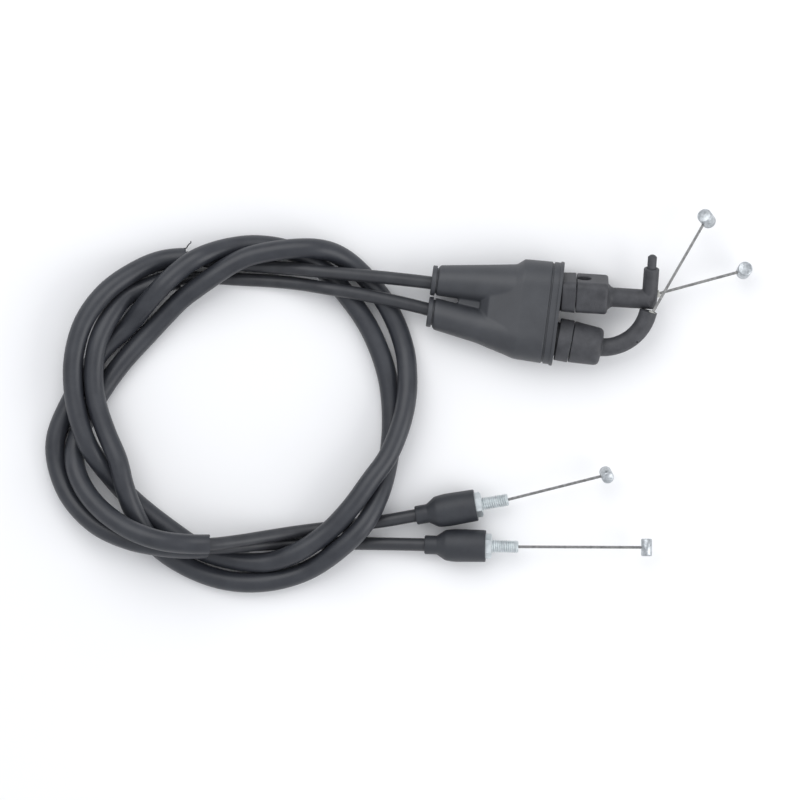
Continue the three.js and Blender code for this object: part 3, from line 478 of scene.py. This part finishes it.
class Tree:
    """A geometry node tree with named inputs, built node by node."""

    def __init__(self, name, sizes, takes_geometry=False):
        self.tree = bpy.data.node_groups.new(name, "GeometryNodeTree")
        self.keys = {}
        if takes_geometry:
            self.tree.interface.new_socket("Geometry", in_out="INPUT", socket_type="NodeSocketGeometry")
        for size, kind in sizes.items():
            socket = self.tree.interface.new_socket(size, in_out="INPUT", socket_type=kind)
            self.keys[size] = socket.identifier
        self.tree.interface.new_socket("Geometry", in_out="OUTPUT", socket_type="NodeSocketGeometry")
        self.inputs = self.tree.nodes.new("NodeGroupInput")
        self.output = self.tree.nodes.new("NodeGroupOutput")

    def size(self, name):
        return self.inputs.outputs[name]

    def join(self, value, socket):
        if hasattr(value, "is_linked"):
            self.tree.links.new(value, socket)
        elif value is not None:
            socket.default_value = value

    def node(self, kind, values=(), **settings):
        node = self.tree.nodes.new(kind)
        for key, value in settings.items():
            setattr(node, key, value)
        for key, value in dict(values).items():
            self.join(value, node.inputs[key])
        return node

    def math(self, operation, *values):
        node = self.node("ShaderNodeMath", operation=operation)
        for socket, value in zip(node.inputs, values):
            self.join(value, socket)
        return node.outputs[0]

    def noise(self, where, seed, scale):
        values = {"Vector": where, "W": seed, "Scale": scale}
        return self.node("ShaderNodeTexNoise", values, noise_dimensions="4D")

    def end(self, geometry):
        real = self.node("GeometryNodeRealizeInstances", {"Geometry": geometry})
        coat = self.node("GeometryNodeSetMaterial", {"Geometry": real.outputs[0]})
        self.tree.links.new(self.size("Material"), coat.inputs["Material"])
        self.tree.links.new(coat.outputs[0], self.output.inputs[0])

    def grow(self, thing, **values):
        """Runs the tree on an object and leaves the plain mesh."""
        change = thing.modifiers.new("grown", "NODES")
        change.node_group = self.tree
        for name, value in values.items():
            change[self.keys[name.replace("_", " ")]] = value
        return settled(thing)


SIZE = "NodeSocketFloat"
COUNT = "NodeSocketInt"
COAT = "NodeSocketMaterial"


def conduit_tree():
    """A tube with shallow ribs on its bare stretches, where its coiled liner shows through the skin."""
    t = Tree(
        "ribbed conduit",
        {
            "Radius": SIZE, "Rib pitch": SIZE, "Rib depth": SIZE,
            "Cover from": SIZE, "Cover to": SIZE, "Material": COAT,
        },
        takes_geometry=True,
    )
    place_on = t.node("GeometryNodeSplineParameter").outputs["Length"]
    wave = t.math("SINE", t.math("MULTIPLY", t.math("DIVIDE", place_on, t.size("Rib pitch")), 2 * math.pi))
    bare = t.math(
        "MAXIMUM",
        t.math("LESS_THAN", place_on, t.size("Cover from")),
        t.math("GREATER_THAN", place_on, t.size("Cover to")),
    )
    rib = t.math("MULTIPLY", t.math("MULTIPLY", wave, t.size("Rib depth")), bare)
    swell = t.math("ADD", 1.0, t.math("DIVIDE", rib, t.size("Radius")))
    curve = t.node("GeometryNodeSetCurveRadius", {"Curve": t.inputs.outputs["Geometry"], "Radius": swell})
    section = t.node("GeometryNodeCurvePrimitiveCircle", {"Resolution": 20, "Radius": t.size("Radius")})
    tube = t.node(
        "GeometryNodeCurveToMesh",
        {"Curve": curve.outputs[0], "Profile Curve": section.outputs[0], "Fill Caps": True},
    )
    t.end(tube.outputs[0])
    return t


def sleeve_tree():
    """A loose vinyl tube: a little out of round, flared and torn at its two cut ends."""
    t = Tree(
        "vinyl sleeve",
        {
            "Radius": SIZE, "Flare": SIZE, "Flare length": SIZE, "Tear": SIZE,
            "Waver": SIZE, "Seed": SIZE, "Material": COAT,
        },
        takes_geometry=True,
    )
    place_on = t.node("GeometryNodeSplineParameter").outputs["Length"]
    total = t.node("GeometryNodeSplineLength").outputs["Length"]
    rest = t.math("SUBTRACT", total, place_on)
    from_end = t.math("MINIMUM", place_on, rest)
    near = t.math("EXPONENT", t.math("MULTIPLY", t.math("DIVIDE", from_end, t.size("Flare length")), -1.0))
    at = t.node("GeometryNodeInputPosition").outputs[0]
    drift = t.noise(at, t.size("Seed"), 0.11)
    waver = t.math("MULTIPLY", t.math("SUBTRACT", drift.outputs[0], 0.5), t.size("Waver"))
    swell = t.math("ADD", t.math("ADD", 1.0, waver), t.math("MULTIPLY", near, t.size("Flare")))
    tangent = t.node("GeometryNodeInputTangent").outputs[0]
    held = t.node("GeometryNodeCaptureAttribute", {"Geometry": t.inputs.outputs["Geometry"]})
    held.capture_items.new("VECTOR", "Run")
    held.capture_items.new("FLOAT", "Near")
    t.join(tangent, held.inputs["Run"])
    sign = t.math("SIGN", t.math("SUBTRACT", place_on, rest))
    t.join(t.math("MULTIPLY", sign, t.math("POWER", near, 3.0)), held.inputs["Near"])
    curve = t.node("GeometryNodeSetCurveRadius", {"Curve": held.outputs["Geometry"], "Radius": swell})
    section = t.node("GeometryNodeCurvePrimitiveCircle", {"Resolution": 28, "Radius": t.size("Radius")})
    tube = t.node("GeometryNodeCurveToMesh", {"Curve": curve.outputs[0], "Profile Curve": section.outputs[0]})
    rip = t.noise(at, t.size("Seed"), 0.45)
    reach = t.math("MULTIPLY", t.math("SUBTRACT", rip.outputs[0], 0.5), t.size("Tear"))
    shove = t.node("ShaderNodeVectorMath", operation="SCALE")
    t.join(held.outputs["Run"], shove.inputs[0])
    t.join(t.math("MULTIPLY", reach, held.outputs["Near"]), shove.inputs["Scale"])
    torn = t.node("GeometryNodeSetPosition", {"Geometry": tube.outputs[0], "Offset": shove.outputs[0]})
    t.end(torn.outputs[0])
    return t


def thread_tree():
    """A threaded rod along X: the crest winds round as it goes along, and the tip is chamfered."""
    t = Tree(
        "screw thread",
        {
            "Length": SIZE, "Radius": SIZE, "Pitch": SIZE, "Depth": SIZE,
            "Chamfer": SIZE, "Rows": COUNT, "Material": COAT,
        },
    )
    grid = t.node(
        "GeometryNodeMeshGrid",
        {"Size X": t.size("Length"), "Size Y": 1.0, "Vertices X": t.size("Rows"), "Vertices Y": 41},
    )
    split = t.node("ShaderNodeSeparateXYZ", {0: t.node("GeometryNodeInputPosition").outputs[0]})
    x = t.math("ADD", split.outputs[0], t.math("MULTIPLY", t.size("Length"), 0.5))
    turn = t.math("ADD", split.outputs[1], 0.5)
    wound_by = t.math("SUBTRACT", t.math("DIVIDE", x, t.size("Pitch")), turn)
    phase = t.math("FRACT", t.math("ADD", wound_by, 100.0))
    off_crest = t.math("ABSOLUTE", t.math("SUBTRACT", t.math("MULTIPLY", phase, 2.0), 1.0))
    crest = t.math("SUBTRACT", 1.0, off_crest)
    crest = t.math("MINIMUM", t.math("MULTIPLY", crest, 1.25), 1.0)
    root = t.math("SUBTRACT", t.size("Radius"), t.size("Depth"))
    radius = t.math("ADD", root, t.math("MULTIPLY", crest, t.size("Depth")))
    left = t.math("SUBTRACT", t.size("Length"), x)
    tip = t.math("ADD", left, t.math("SUBTRACT", t.size("Radius"), t.size("Chamfer")))
    radius = t.math("MINIMUM", radius, tip)
    body = t.math("MULTIPLY", t.math("GREATER_THAN", x, 0.001), t.math("GREATER_THAN", left, 0.001))
    radius = t.math("MULTIPLY", radius, body)
    angle = t.math("MULTIPLY", turn, 2 * math.pi)
    where = t.node("ShaderNodeCombineXYZ")
    t.join(x, where.inputs[0])
    t.join(t.math("MULTIPLY", radius, t.math("COSINE", angle)), where.inputs[1])
    t.join(t.math("MULTIPLY", radius, t.math("SINE", angle)), where.inputs[2])
    wound = t.node(
        "GeometryNodeSetPosition", {"Geometry": grid.outputs["Mesh"], "Position": where.outputs[0]}
    )
    closed = t.node("GeometryNodeMergeByDistance", {"Geometry": wound.outputs[0], "Distance": 0.002})
    t.end(closed.outputs[0])
    return t


def strand_tree():
    """A wire rope along Z: strands wound round one straight strand."""
    t = Tree(
        "twisted wire",
        {"Length": SIZE, "Radius": SIZE, "Strands": COUNT, "Lay": SIZE, "Material": COAT},
    )
    thick = t.math("DIVIDE", t.size("Radius"), 3.0)
    out = t.math("SUBTRACT", t.size("Radius"), thick)
    spiral = t.node(
        "GeometryNodeCurveSpiral",
        {
            "Resolution": 14,
            "Rotations": t.math("DIVIDE", t.size("Length"), t.size("Lay")),
            "Start Radius": out,
            "End Radius": out,
            "Height": t.size("Length"),
        },
    )
    strand_radius = t.math("MULTIPLY", thick, 1.03)
    section = t.node("GeometryNodeCurvePrimitiveCircle", {"Resolution": 10, "Radius": strand_radius})
    outer = t.node(
        "GeometryNodeCurveToMesh",
        {"Curve": spiral.outputs[0], "Profile Curve": section.outputs[0], "Fill Caps": True},
    )
    spots = t.node("GeometryNodePoints", {"Count": t.size("Strands")})
    number = t.node("GeometryNodeInputIndex").outputs[0]
    angle = t.math("MULTIPLY", t.math("DIVIDE", number, t.size("Strands")), 2 * math.pi)
    turn = t.node("ShaderNodeCombineXYZ")
    t.join(angle, turn.inputs[2])
    rope = t.node("GeometryNodeInstanceOnPoints", {"Points": spots.outputs[0], "Instance": outer.outputs[0]})
    t.join(turn.outputs[0], rope.inputs["Rotation"])
    top = t.node("ShaderNodeCombineXYZ")
    t.join(t.size("Length"), top.inputs[2])
    middle = t.node("GeometryNodeCurvePrimitiveLine", {"End": top.outputs[0]})
    core = t.node(
        "GeometryNodeCurveToMesh",
        {"Curve": middle.outputs[0], "Profile Curve": section.outputs[0], "Fill Caps": True},
    )
    both = t.node("GeometryNodeJoinGeometry")
    t.join(rope.outputs[0], both.inputs[0])
    t.join(core.outputs[0], both.inputs[0])
    t.end(both.outputs[0])
    return t


CONDUIT_TREE = conduit_tree()
SLEEVE_TREE = sleeve_tree()
THREAD_TREE = thread_tree()
STRAND_TREE = strand_tree()


def poly_curve(name, points):
    data = bpy.data.curves.new(name, "CURVE")
    data.dimensions = "3D"
    data.twist_mode = "MINIMUM"
    spline = data.splines.new("POLY")
    spline.points.add(len(points) - 1)
    for spot, point in zip(spline.points, points):
        spot.co = (*point, 1)
    return linked(name, data)


# ------------------------------------------------------------------ the two cables

RIB_PITCH = 1.5
RIB_ROW = RIB_PITCH / 5
RIBS_UNDER_SLEEVE = 4
FINE_UNDER_SLEEVE = 8


def conduit(side, route, cover):
    total = route[1][-1]
    rows = np.concatenate(
        [
            np.arange(0, cover[0] + FINE_UNDER_SLEEVE, RIB_ROW),
            np.arange(cover[0] + FINE_UNDER_SLEEVE, cover[1] - FINE_UNDER_SLEEVE, 4.0),
            np.arange(cover[1] - FINE_UNDER_SLEEVE, total, RIB_ROW),
            [total],
        ]
    )
    line = poly_curve(side + "_conduit_line", along(route, rows))
    tube = CONDUIT_TREE.grow(
        line,
        Radius=CONDUIT_D / 2,
        Rib_pitch=RIB_PITCH,
        Rib_depth=0.12,
        Cover_from=cover[0] + RIBS_UNDER_SLEEVE,
        Cover_to=cover[1] - RIBS_UNDER_SLEEVE,
        Material=conduit_skin,
    )
    outward(tube)
    return finished(
        side + "_conduit_skin", tube, Matrix.Identity(4), conduit_skin, "loom",
        [side + "_conduit"], edge=80,
    )


def cut_shaving(route, start):
    """The curl that the knife left at a sleeve's end: it stands up past the rim."""
    rim, ahead = along(route, [start - 0.2, start - 3.2])
    forward = Vector(ahead - rim).normalized()
    outer = Vector((-forward.y, forward.x, 0)).normalized()
    if outer.y < 0:
        outer.negate()
    base = Vector(rim) + outer * (SLEEVE_D / 2 - 0.3)
    steps = (
        (-1.2, 0, 0), (0.2, 0.3, 0.2), (0.7, 1.3, 0.5), (1.4, 2.2, 0.6), (2.2, 2.9, 0.5), (2.1, 3.6, 0.3),
    )
    line = [base + forward * ahead_by + outer * out_by + Vector((0, 0, up)) for ahead_by, out_by, up in steps]
    return swept(line, 0.28, 10)


def sleeve(side, route, cover, seed, shaving=False):
    count = int((cover[1] - cover[0]) / 2.2)
    rows = np.linspace(cover[0], cover[1], count)
    close = np.array([0.5, 1.0, 1.5, 2.0, 3.0])
    rows = np.sort(np.concatenate([rows, cover[0] + close, cover[1] - close]))
    line = poly_curve(side + "_sleeve_line", along(route, rows))
    tube = SLEEVE_TREE.grow(
        line,
        Radius=SLEEVE_D / 2 + 0.1,
        Flare=0.02,
        Flare_length=2.5,
        Tear=3.2,
        Waver=0.03,
        Seed=seed,
        Material=sleeve_vinyl,
    )
    wall = tube.modifiers.new("wall", "SOLIDIFY")
    wall.thickness = SLEEVE_WALL
    wall.offset = -1.0
    settled(tube)
    outward(tube)
    if shaving:
        tube = merged([tube, cut_shaving(route, cover[0])])
    return finished(
        side + "_loose_sleeve", tube, Matrix.Identity(4), sleeve_vinyl, "loom",
        [side + "_sleeve"], edge=50,
    )


pin_sleeve = sleeve("pin", PIN_LINE, PIN_SLEEVE, 1.7, shaving=True)
bent_sleeve = sleeve("bent", BENT_LINE, BENT_SLEEVE, 5.3)
pin_conduit = conduit("pin", PIN_LINE, PIN_SLEEVE)
bent_conduit = conduit("bent", BENT_LINE, BENT_SLEEVE)

# ------------------------------------------------------------------ adjusters at the throttle body


def bevelled_nut(across_flats, thick, bore, where_x):
    """A hexagon nut with its corners turned off on both faces."""
    corner = across_flats / math.sqrt(3)
    prism = turned([(0, 0), (0, corner), (thick, corner), (thick, 0)], 6)
    apothem = across_flats / 2
    turned_off = turned(
        [
            (0, 0), (0, apothem - 0.1), (0.55, corner + 0.02),
            (thick - 0.55, corner + 0.02), (thick, apothem - 0.1), (thick, 0),
        ],
        60,
    )
    nut = combined(prism, [turned_off], "INTERSECT")
    mouth = ring_chamfer(bore, thick)
    cut(nut, [mouth])
    return moved(nut, Matrix.Translation((where_x, 0, 0)))


def ring_chamfer(bore, thick):
    """The tool that bores a nut and opens its two mouths."""
    r = bore / 2
    return turned(
        [(-1, 0), (-1, r + 1.4), (0.4, r), (thick - 0.4, r), (thick + 1, r + 1.4), (thick + 1, 0)], 48
    )


def stud(side, tail):
    cup = ring_body(
        [
            (CUP_START, 3.3),
            (CUP_START, 4.1),
            (CUP_START + 0.3, 4.4),
            (CUP_END - 0.8, 4.4),
            (CUP_END, 3.6),
            (CUP_END, 0.4),
            (CUP_START + CUP_DEPTH, 0.4),
            (CUP_START + CUP_DEPTH, 3.3),
        ]
    )
    seed = raw_mesh("thread_seed", [(0, 0, 0)], [])
    length = ADJUSTER_LENGTH - CUP_END + 1
    thread = THREAD_TREE.grow(
        seed, Length=length, Radius=2.98, Pitch=1.0, Depth=0.52, Chamfer=0.7,
        Rows=int(length * THREAD_ROWS), Material=bright_zinc,
    )
    outward(moved(thread, Matrix.Translation((CUP_END - 1, 0, 0))))
    mouth = rod(WIRE_BORE, ADJUSTER_LENGTH - 4, ADJUSTER_LENGTH + 1, 24)
    cut(thread, [mouth])
    whole = merged([cup, thread])
    return finished(
        side + "_threaded_stud", whole, tail, bright_zinc, "loom", [side + "_stud"], edge=50
    )


def adjuster_boot(side, tail):
    """A turned rubber cover: a straight neck, a short cone and a barrel that tapers to its mouth."""
    outside = [
        (0, 3.9), (0.2, 4.2), (0.5, 4.35), (5.5, 4.35), (5.7, 4.4), (9.3, 6.8), (9.8, 7.02), (10.6, 7.2),
        (12.4, 7.44), (14.8, 7.58), (18, 7.55), (23, 7.46), (27.6, 7.38), (28.0, 7.3), (28.2, 7.1),
    ]
    inside = [(28.2, 6.3), (27.9, 6.1), (20, 6.15), (14.5, 6.2), (10.5, 5.6), (7, 3.35), (0, 3.35)]
    boot = ring_body(outside + inside, 72)
    return finished(
        side + "_rubber_cover", boot, tail, cover_rubber, side + "_boot",
        [side + "_adjuster_boot"], edge=28,
    )


def nuts(side, tail):
    for which, body in (("outer", side + "_nut"), ("inner", "loom")):
        nut = bevelled_nut(NUT_ACROSS, NUT_THICK, NUT_BORE, NUTS_START[which])
        finished(
            f"{side}_{which}_hex_nut", nut, tail, bright_zinc, body,
            [f"{side}_{which}_nut"], edge=30,
        )


pin_stud = stud("pin", PIN_TAIL)
bent_stud = stud("bent", BENT_TAIL)
for side, tail in (("pin", PIN_TAIL), ("bent", BENT_TAIL)):
    adjuster_boot(side, tail)
    nuts(side, tail)

# ------------------------------------------------------------------ inner wires and nipples

PIN_EXIT = PIN_STEM @ Vector((STEM_END, 2.8, -0.9))


LEAD = Vector((math.cos(math.radians(ELBOW_LEAD)), math.sin(math.radians(ELBOW_LEAD)), 0))


def elbow_point(degrees):
    left = Vector((-LEAD.y, LEAD.x, 0))
    centre = Vector((COLLAR_END + BARREL_LENGTH + JOINT_GAP, 0, 0)) + left * ELBOW_RADIUS
    turn = math.radians(degrees)
    return centre - left * ELBOW_RADIUS * math.cos(turn) + LEAD * ELBOW_RADIUS * math.sin(turn)


ELBOW_TIP = elbow_point(ELBOW_SWEEP)
ELBOW_END = BENT_HEAD @ place(ELBOW_TIP.x, ELBOW_TIP.y, 0, 86.5)
BENT_EXIT = ELBOW_END @ Vector((0, -1.8, 0.6))
PIN_TIP = PIN_TAIL @ Vector((ADJUSTER_LENGTH, 0, 0))
BENT_TIP = BENT_TAIL @ Vector((ADJUSTER_LENGTH, 0, 0))
# Of each inner wire: where it leaves, its nipple's centre, axis and seat, and its hidden tail
ENDS = {
    "pin_throttle": (PIN_EXIT, Vector((158.6, 59.7, 12)), Vector((0.1, 0.2, 0.97)), 6, THROTTLE_TAIL),
    "bent_throttle": (BENT_EXIT, Vector((141, 83.4, 18.5)), Vector((-0.33, 0.36, 0.87)), 6, THROTTLE_TAIL),
    "pin_body": (PIN_TIP, Vector((95.2, -34.5, 12.4)), Vector((0.15, -0.37, 0.92)), 5, BODY_TAIL),
    "bent_body": (BENT_TIP, Vector((113.6, -67.9, 12.9)), Vector((0, 1, 0)), 5, BODY_TAIL),
}
NIPPLE_D = {"pin_throttle": 6.7, "bent_throttle": 6.7, "pin_body": 5.6, "bent_body": 5.1}
WIRE_FRAMES = {name: place_towards(end[0], end[1]) for name, end in ENDS.items()}


def wire_and_nipple(name):
    exit_point, centre, axis, seat, tail = ENDS[name]
    body = name + "_end"
    frame_here = WIRE_FRAMES[name]
    reach = (centre - exit_point).length - seat / 2 + 1.2
    nipple_frame = place_towards(centre, centre + axis.normalized())
    r = NIPPLE_D[name] / 2
    barrel = turned(
        [
            (-4, 0), (-4, r - 0.45), (-3.85, r - 0.2), (-3.55, r),
            (3.55, r), (3.85, r - 0.2), (4, r - 0.45), (4, 0),
        ]
    )
    into = nipple_frame.inverted() @ frame_here
    hole = moved(rod(WIRE_BORE, 0, reach + JOINT_GAP, 32), into)
    cut(barrel, [hole])
    nipple = finished(
        name + "_barrel_nipple", barrel, nipple_frame, cast_zinc, body, [name + "_nipple"]
    )
    seed = raw_mesh("strand_seed", [(0, 0, 0)], [])
    rope = STRAND_TREE.grow(
        seed, Length=tail + reach, Radius=ROPE_D / 2, Strands=6, Lay=9.0, Material=steel_strand
    )
    outward(rope, 1e-5)
    start = frame_here @ Matrix.Translation((-tail, 0, 0)) @ Matrix.Rotation(math.pi / 2, 4, "Y")
    wire = finished(
        name + "_inner_wire", rope, start, steel_strand, body, [name + "_wire"], edge=60
    )


for name in ENDS:
    wire_and_nipple(name)

# ------------------------------------------------------------------ twin boot


def circle_points(x, diameter, centres, sides=56):
    points = []
    for y in centres:
        for i in range(sides):
            angle = 2 * math.pi * i / sides
            points.append(Vector((x, y + diameter / 2 * math.cos(angle), diameter / 2 * math.sin(angle))))
    return points


def stadium(x, width, thickness, inset=0.0):
    half = (width - thickness) / 2
    return circle_points(x, thickness - 2 * inset, [half, -half])


LIP = {"pin": 8.1, "bent": -6.5}
TUBE = {"pin": 8.5, "bent": -7.4}  # where the tubes start, just past their lips
STEP = {"pin": 9.9, "bent": -11.7}
BOOT_BACK = -59.9
WAIST_AT = -36.5
WAIST = {"pin": (9.6, 17.2), "bent": (-10.1, 15.8)}  # centre across the boot and diameter
HOLLOW = 3.0  # twice the rubber's thickness
BAND = (47.2, 23)  # width and thickness behind the mouth
MOUTH = (48.2, 24)
GROOVE = (45.8, 21.6)
CHAMBER = (43.3, 19.6)
SHOULDER_AT = -18.1
STEP_AT = -21.5
TUBE_D = 21


def twin_boot():
    wide = [STEP["bent"], STEP["pin"]]
    soft = [
        hull(circle_points(STEP_AT, TUBE_D, wide) + stadium(SHOULDER_AT, 46.3, 23)),
        hull(stadium(SHOULDER_AT, 46.3, 23) + stadium(-5.1, *BAND)),
        hull(circle_points(-46.6, 4, [-0.5, 1.5]) + circle_points(-35, 4, [-5, 5])),
        hull(
            circle_points(-36.2, 7, [-5, 4])
            + circle_points(-32.5, 15, [-8, 7])
            + circle_points(STEP_AT, TUBE_D, wide)
        ),
    ]
    for side in ("pin", "bent"):
        centre, width = WAIST[side]
        waist = circle_points(WAIST_AT, width, [centre])
        soft += [
            hull(
                circle_points(BOOT_BACK + 2.8, 13.5, [LIP[side]])
                + circle_points(BOOT_BACK + 3.8, 14.1, [TUBE[side]])
                + waist
            ),
            hull(waist + circle_points(-21.3, TUBE_D, [STEP[side]])),
        ]
    skin = softened(united(soft), 0.42, 6)
    crisp = [
        hull(stadium(-5.3, *GROOVE) + stadium(-4.2, *GROOVE)),
        hull(stadium(-4.4, *BAND, 0.15) + stadium(-4.25, *BAND) + stadium(-1.5, *BAND)),
        hull(
            stadium(-1.6, *MOUTH, 0.25) + stadium(-1.3, *MOUTH)
            + stadium(-0.3, *MOUTH) + stadium(0, *MOUTH, 0.3)
        ),
    ]
    for side in ("pin", "bent"):
        lip = [LIP[side]]
        crisp += [
            hull(
                circle_points(BOOT_BACK, 12.9, lip)
                + circle_points(BOOT_BACK + 0.15, 13.5, lip)
                + circle_points(BOOT_BACK + 0.5, 13.9, lip)
                + circle_points(BOOT_BACK + 1.9, 13.9, lip)
                + circle_points(BOOT_BACK + 2.2, 13.4, lip)
            ),
            hull(circle_points(BOOT_BACK + 2, 11.9, lip) + circle_points(BOOT_BACK + 3.4, 11.9, lip)),
        ]
    shell = united([skin] + crisp)
    hollows = [
        hull(stadium(1, 45.2, 21) + stadium(-4.4, 44.8, 19.6)),
        hull(stadium(-4.3, 42.8, 18.6) + stadium(SHOULDER_AT, *CHAMBER)),
        hull(stadium(-18, *CHAMBER) + circle_points(STEP_AT, TUBE_D - HOLLOW, wide)),
    ]
    to_boot = BOOT.inverted()
    for side, route in (("pin", PIN_LINE), ("bent", BENT_LINE)):
        centre, width = WAIST[side]
        waist = circle_points(WAIST_AT, width - HOLLOW, [centre])
        hollows += [
            hull(circle_points(BOOT_BACK + 5.6, 10.9, [LIP[side]]) + waist),
            hull(waist + circle_points(-21.4, TUBE_D - HOLLOW, [STEP[side]])),
        ]
        bore = [to_boot @ Vector(p) for p in along(route, np.linspace(27.0, 38.0, 9))]
        hollows.append(swept(bore, 3.5, 32))
    cut(shell, hollows)
    finished("twin_dust_boot", shell, BOOT, boot_rubber, "loom", ["twin_boot"], edge=28)


twin_boot()

# ------------------------------------------------------------------ straight and bent fittings


def block_points(x, inset=0.0, rise=8.4, height=14.7, depth=19.5, corner=3.0):
    low, high, side = rise - height + inset, rise - inset, depth / 2 - inset
    points = []
    for y, z, start in (
        (low + corner, -side + corner, math.pi),
        (high - corner, -side + corner, -math.pi / 2),
        (high - corner, side - corner, 0.0),
        (low + corner, side - corner, math.pi / 2),
    ):
        for i in range(9):
            angle = start + math.pi / 2 * i / 8
            points.append(Vector((x, y + corner * math.cos(angle), z + corner * math.sin(angle))))
    return points


def standing(thing, x):
    """Stands a body made along X up along Y, at x."""
    return moved(thing, Matrix.Translation((x, 0, 0)) @ Matrix.Rotation(math.pi / 2, 4, "Z"))


def wire_tools(name, head, depth):
    into = head.inverted() @ WIRE_FRAMES[name]
    return [moved(rod(WIRE_BORE, -depth, 6, 32), into), moved(rod(GUIDE_SEAT, -4.2, 6, 32), into)]


def pin_fitting():
    start = COLLAR_END + JOINT_GAP
    stop = start + BLOCK_LENGTH
    stem = combined(
        rod(9, stop - 1, STEM_END, 72),
        [united([rod(18, stop - 2, POST_AT), standing(rod(7.0, -9, 9, 72), POST_AT)])],
        "INTERSECT",
    )
    body = united(
        [
            hull(
                block_points(start, 0.3) + block_points(start + 0.4) + block_points(stop - 1.2)
                + block_points(stop - 0.35, 0.35) + block_points(stop, 1.2)
            ),
            turned(
                [
                    (stop - 0.5, 0), (stop - 0.5, 6.6), (stop + 0.4, 5.9),
                    (stop + 1.4, 4.9), (stop + 2.8, 4.3), (stop + 2.8, 0),
                ]
            ),
            stem,
            standing(turned([(0, 0), (0, 3.6), (14.7, 3.6), (15.1, 3.2), (15.1, 0)], 72), POST_AT),
        ]
    )
    softened(body, 0.28, 3)
    recess = standing(turned([(5.0, 0), (5.0, 3.0), (5.2, 3.2), (8.0, 3.2), (9.4, 4.6), (9.4, 0)]), 11.1)
    seat = standing(rod(4.8, 7.1, 16.1), POST_AT)
    screw_hole = rod(SCREW_HOLE, start - 1, SCREW_HOLE_END)
    cut(body, [recess, seat, screw_hole, *wire_tools("pin_throttle", PIN_HEAD, SCREW_HOLE_END)])
    finished(
        "straight_fitting", body, PIN_HEAD, moulded_nylon, "pin_throttle_fitting",
        ["pin_fitting"],
    )
    pin = turned([(7.4, 0), (7.4, 2.1), (20.3, 2.1), (20.55, 2.0), (21.3, 1.15), (21.4, 0.95), (21.4, 0)])
    finished(
        "chamfered_locating_pin", standing(pin, POST_AT), PIN_HEAD, moulded_nylon,
        "pin_throttle_fitting", ["locating_pin"],
    )


def bent_fitting():
    start = COLLAR_END + JOINT_GAP
    stop = start + BARREL_LENGTH
    barrel = turned(
        [
            (start, 0), (start, 9.35), (start + 0.3, 9.6), (stop - 2.2, 8.75), (stop - 1.3, 8.45),
            (stop - 0.5, 7.8), (stop - 0.1, 6.9), (stop, 6.2), (stop, 0),
        ],
        80,
    )
    run = [elbow_point(0) - LEAD * 4] + [elbow_point(ELBOW_SWEEP * i / 32) for i in range(33)]
    run.append(run[-1] + (run[-1] - run[-2]).normalized() * 0.9)
    body = united([barrel, swept(run, 4.15, 56)])
    softened(body, 0.28, 3)
    screw_hole = rod(SCREW_HOLE, start - 1, SCREW_HOLE_END)
    cut(body, [screw_hole, *wire_tools("bent_throttle", BENT_HEAD, SCREW_HOLE_END)])
    finished(
        "bent_fitting_moulding", body, BENT_HEAD, moulded_nylon, "bent_throttle_fitting",
        ["bent_fitting"],
    )


def collars():
    spigot = [(-6, 0), (-6, 7.5), (-5.75, 7.75), (COLLAR_START + 1, 7.75), (COLLAR_START + 1, 0)]
    square = hull(
        block_points(COLLAR_START, 0.4) + block_points(COLLAR_START + 0.3, 0.1)
        + block_points(COLLAR_END - 0.3, -0.1) + block_points(COLLAR_END, 0.15)
    )
    disc = turned(
        [
            (COLLAR_START, 0), (COLLAR_START, 9.5), (COLLAR_START + 0.3, 9.8), (COLLAR_END - 0.3, 9.8),
            (COLLAR_END, 9.5), (COLLAR_END, 0),
        ],
        80,
    )
    for name, plate, head, node in (
        ("square_collar", square, PIN_HEAD, "pin_collar"),
        ("round_collar", disc, BENT_HEAD, "bent_collar"),
    ):
        ring = cut(united([plate, turned(spigot)]), [rod(SCREW_HOLE, -7, COLLAR_END + 1)])
        finished(name, ring, head, moulded_nylon, "loom", [node], edge=28)


def guides():
    for side in ("pin", "bent"):
        ring = ring_body(
            [(-3.9, 1.05), (-3.9, 1.7), (0.9, 1.7), (1.1, 1.5), (1.1, 1.15), (1.0, 1.05)], 40
        )
        finished(
            side + "_wire_guide", ring, WIRE_FRAMES[side + "_throttle"], natural_nylon,
            side + "_throttle_fitting", [side + "_guide"],
        )


pin_fitting()
bent_fitting()
collars()
guides()

# ------------------------------------------------------------------ carried-over nodes

for node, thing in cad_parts.items():
    if thing.hide_render:
        continue
    thing.data.materials.clear()
    thing.data.materials.append(bright_zinc)

# ------------------------------------------------------------------ table, light


def floor():
    material = finish(
        "pale_table", (0.86, 0.86, 0.86), (0.89, 0.89, 0.89), 0.7, patch=3, grain=400, bump=0.02
    )
    table = raw_mesh("pale_table", [(-3, -3, 0), (3, -3, 0), (3, 3, 0), (-3, 3, 0)], [(0, 1, 2, 3)])
    table.data.materials.append(material)


def lamp(name, place_at, look_at, size, power):
    data = bpy.data.lights.new(name, "AREA")
    data.shape = "RECTANGLE"
    data.size, data.size_y = size
    data.energy = power
    thing = bpy.data.objects.new(name, data)
    scene.collection.objects.link(thing)
    thing.location = place_at
    thing.rotation_euler = (Vector(look_at) - Vector(place_at)).to_track_quat("-Z", "Y").to_euler()


floor()
lamp("top_softbox", (-0.35, 0.75, 1.2), (0, 0, 0), (1.4, 1.2), 9)
lamp("side_softbox", (1.0, -0.35, 0.7), (0, 0, 0), (0.9, 0.9), 6)
world = bpy.data.worlds.new("studio")
world.use_nodes = True
world.node_tree.nodes["Background"].inputs["Color"].default_value = (0.93, 0.95, 1.0, 1)
world.node_tree.nodes["Background"].inputs["Strength"].default_value = 0.8
scene.world = world
scene.view_settings.view_transform = "Standard"
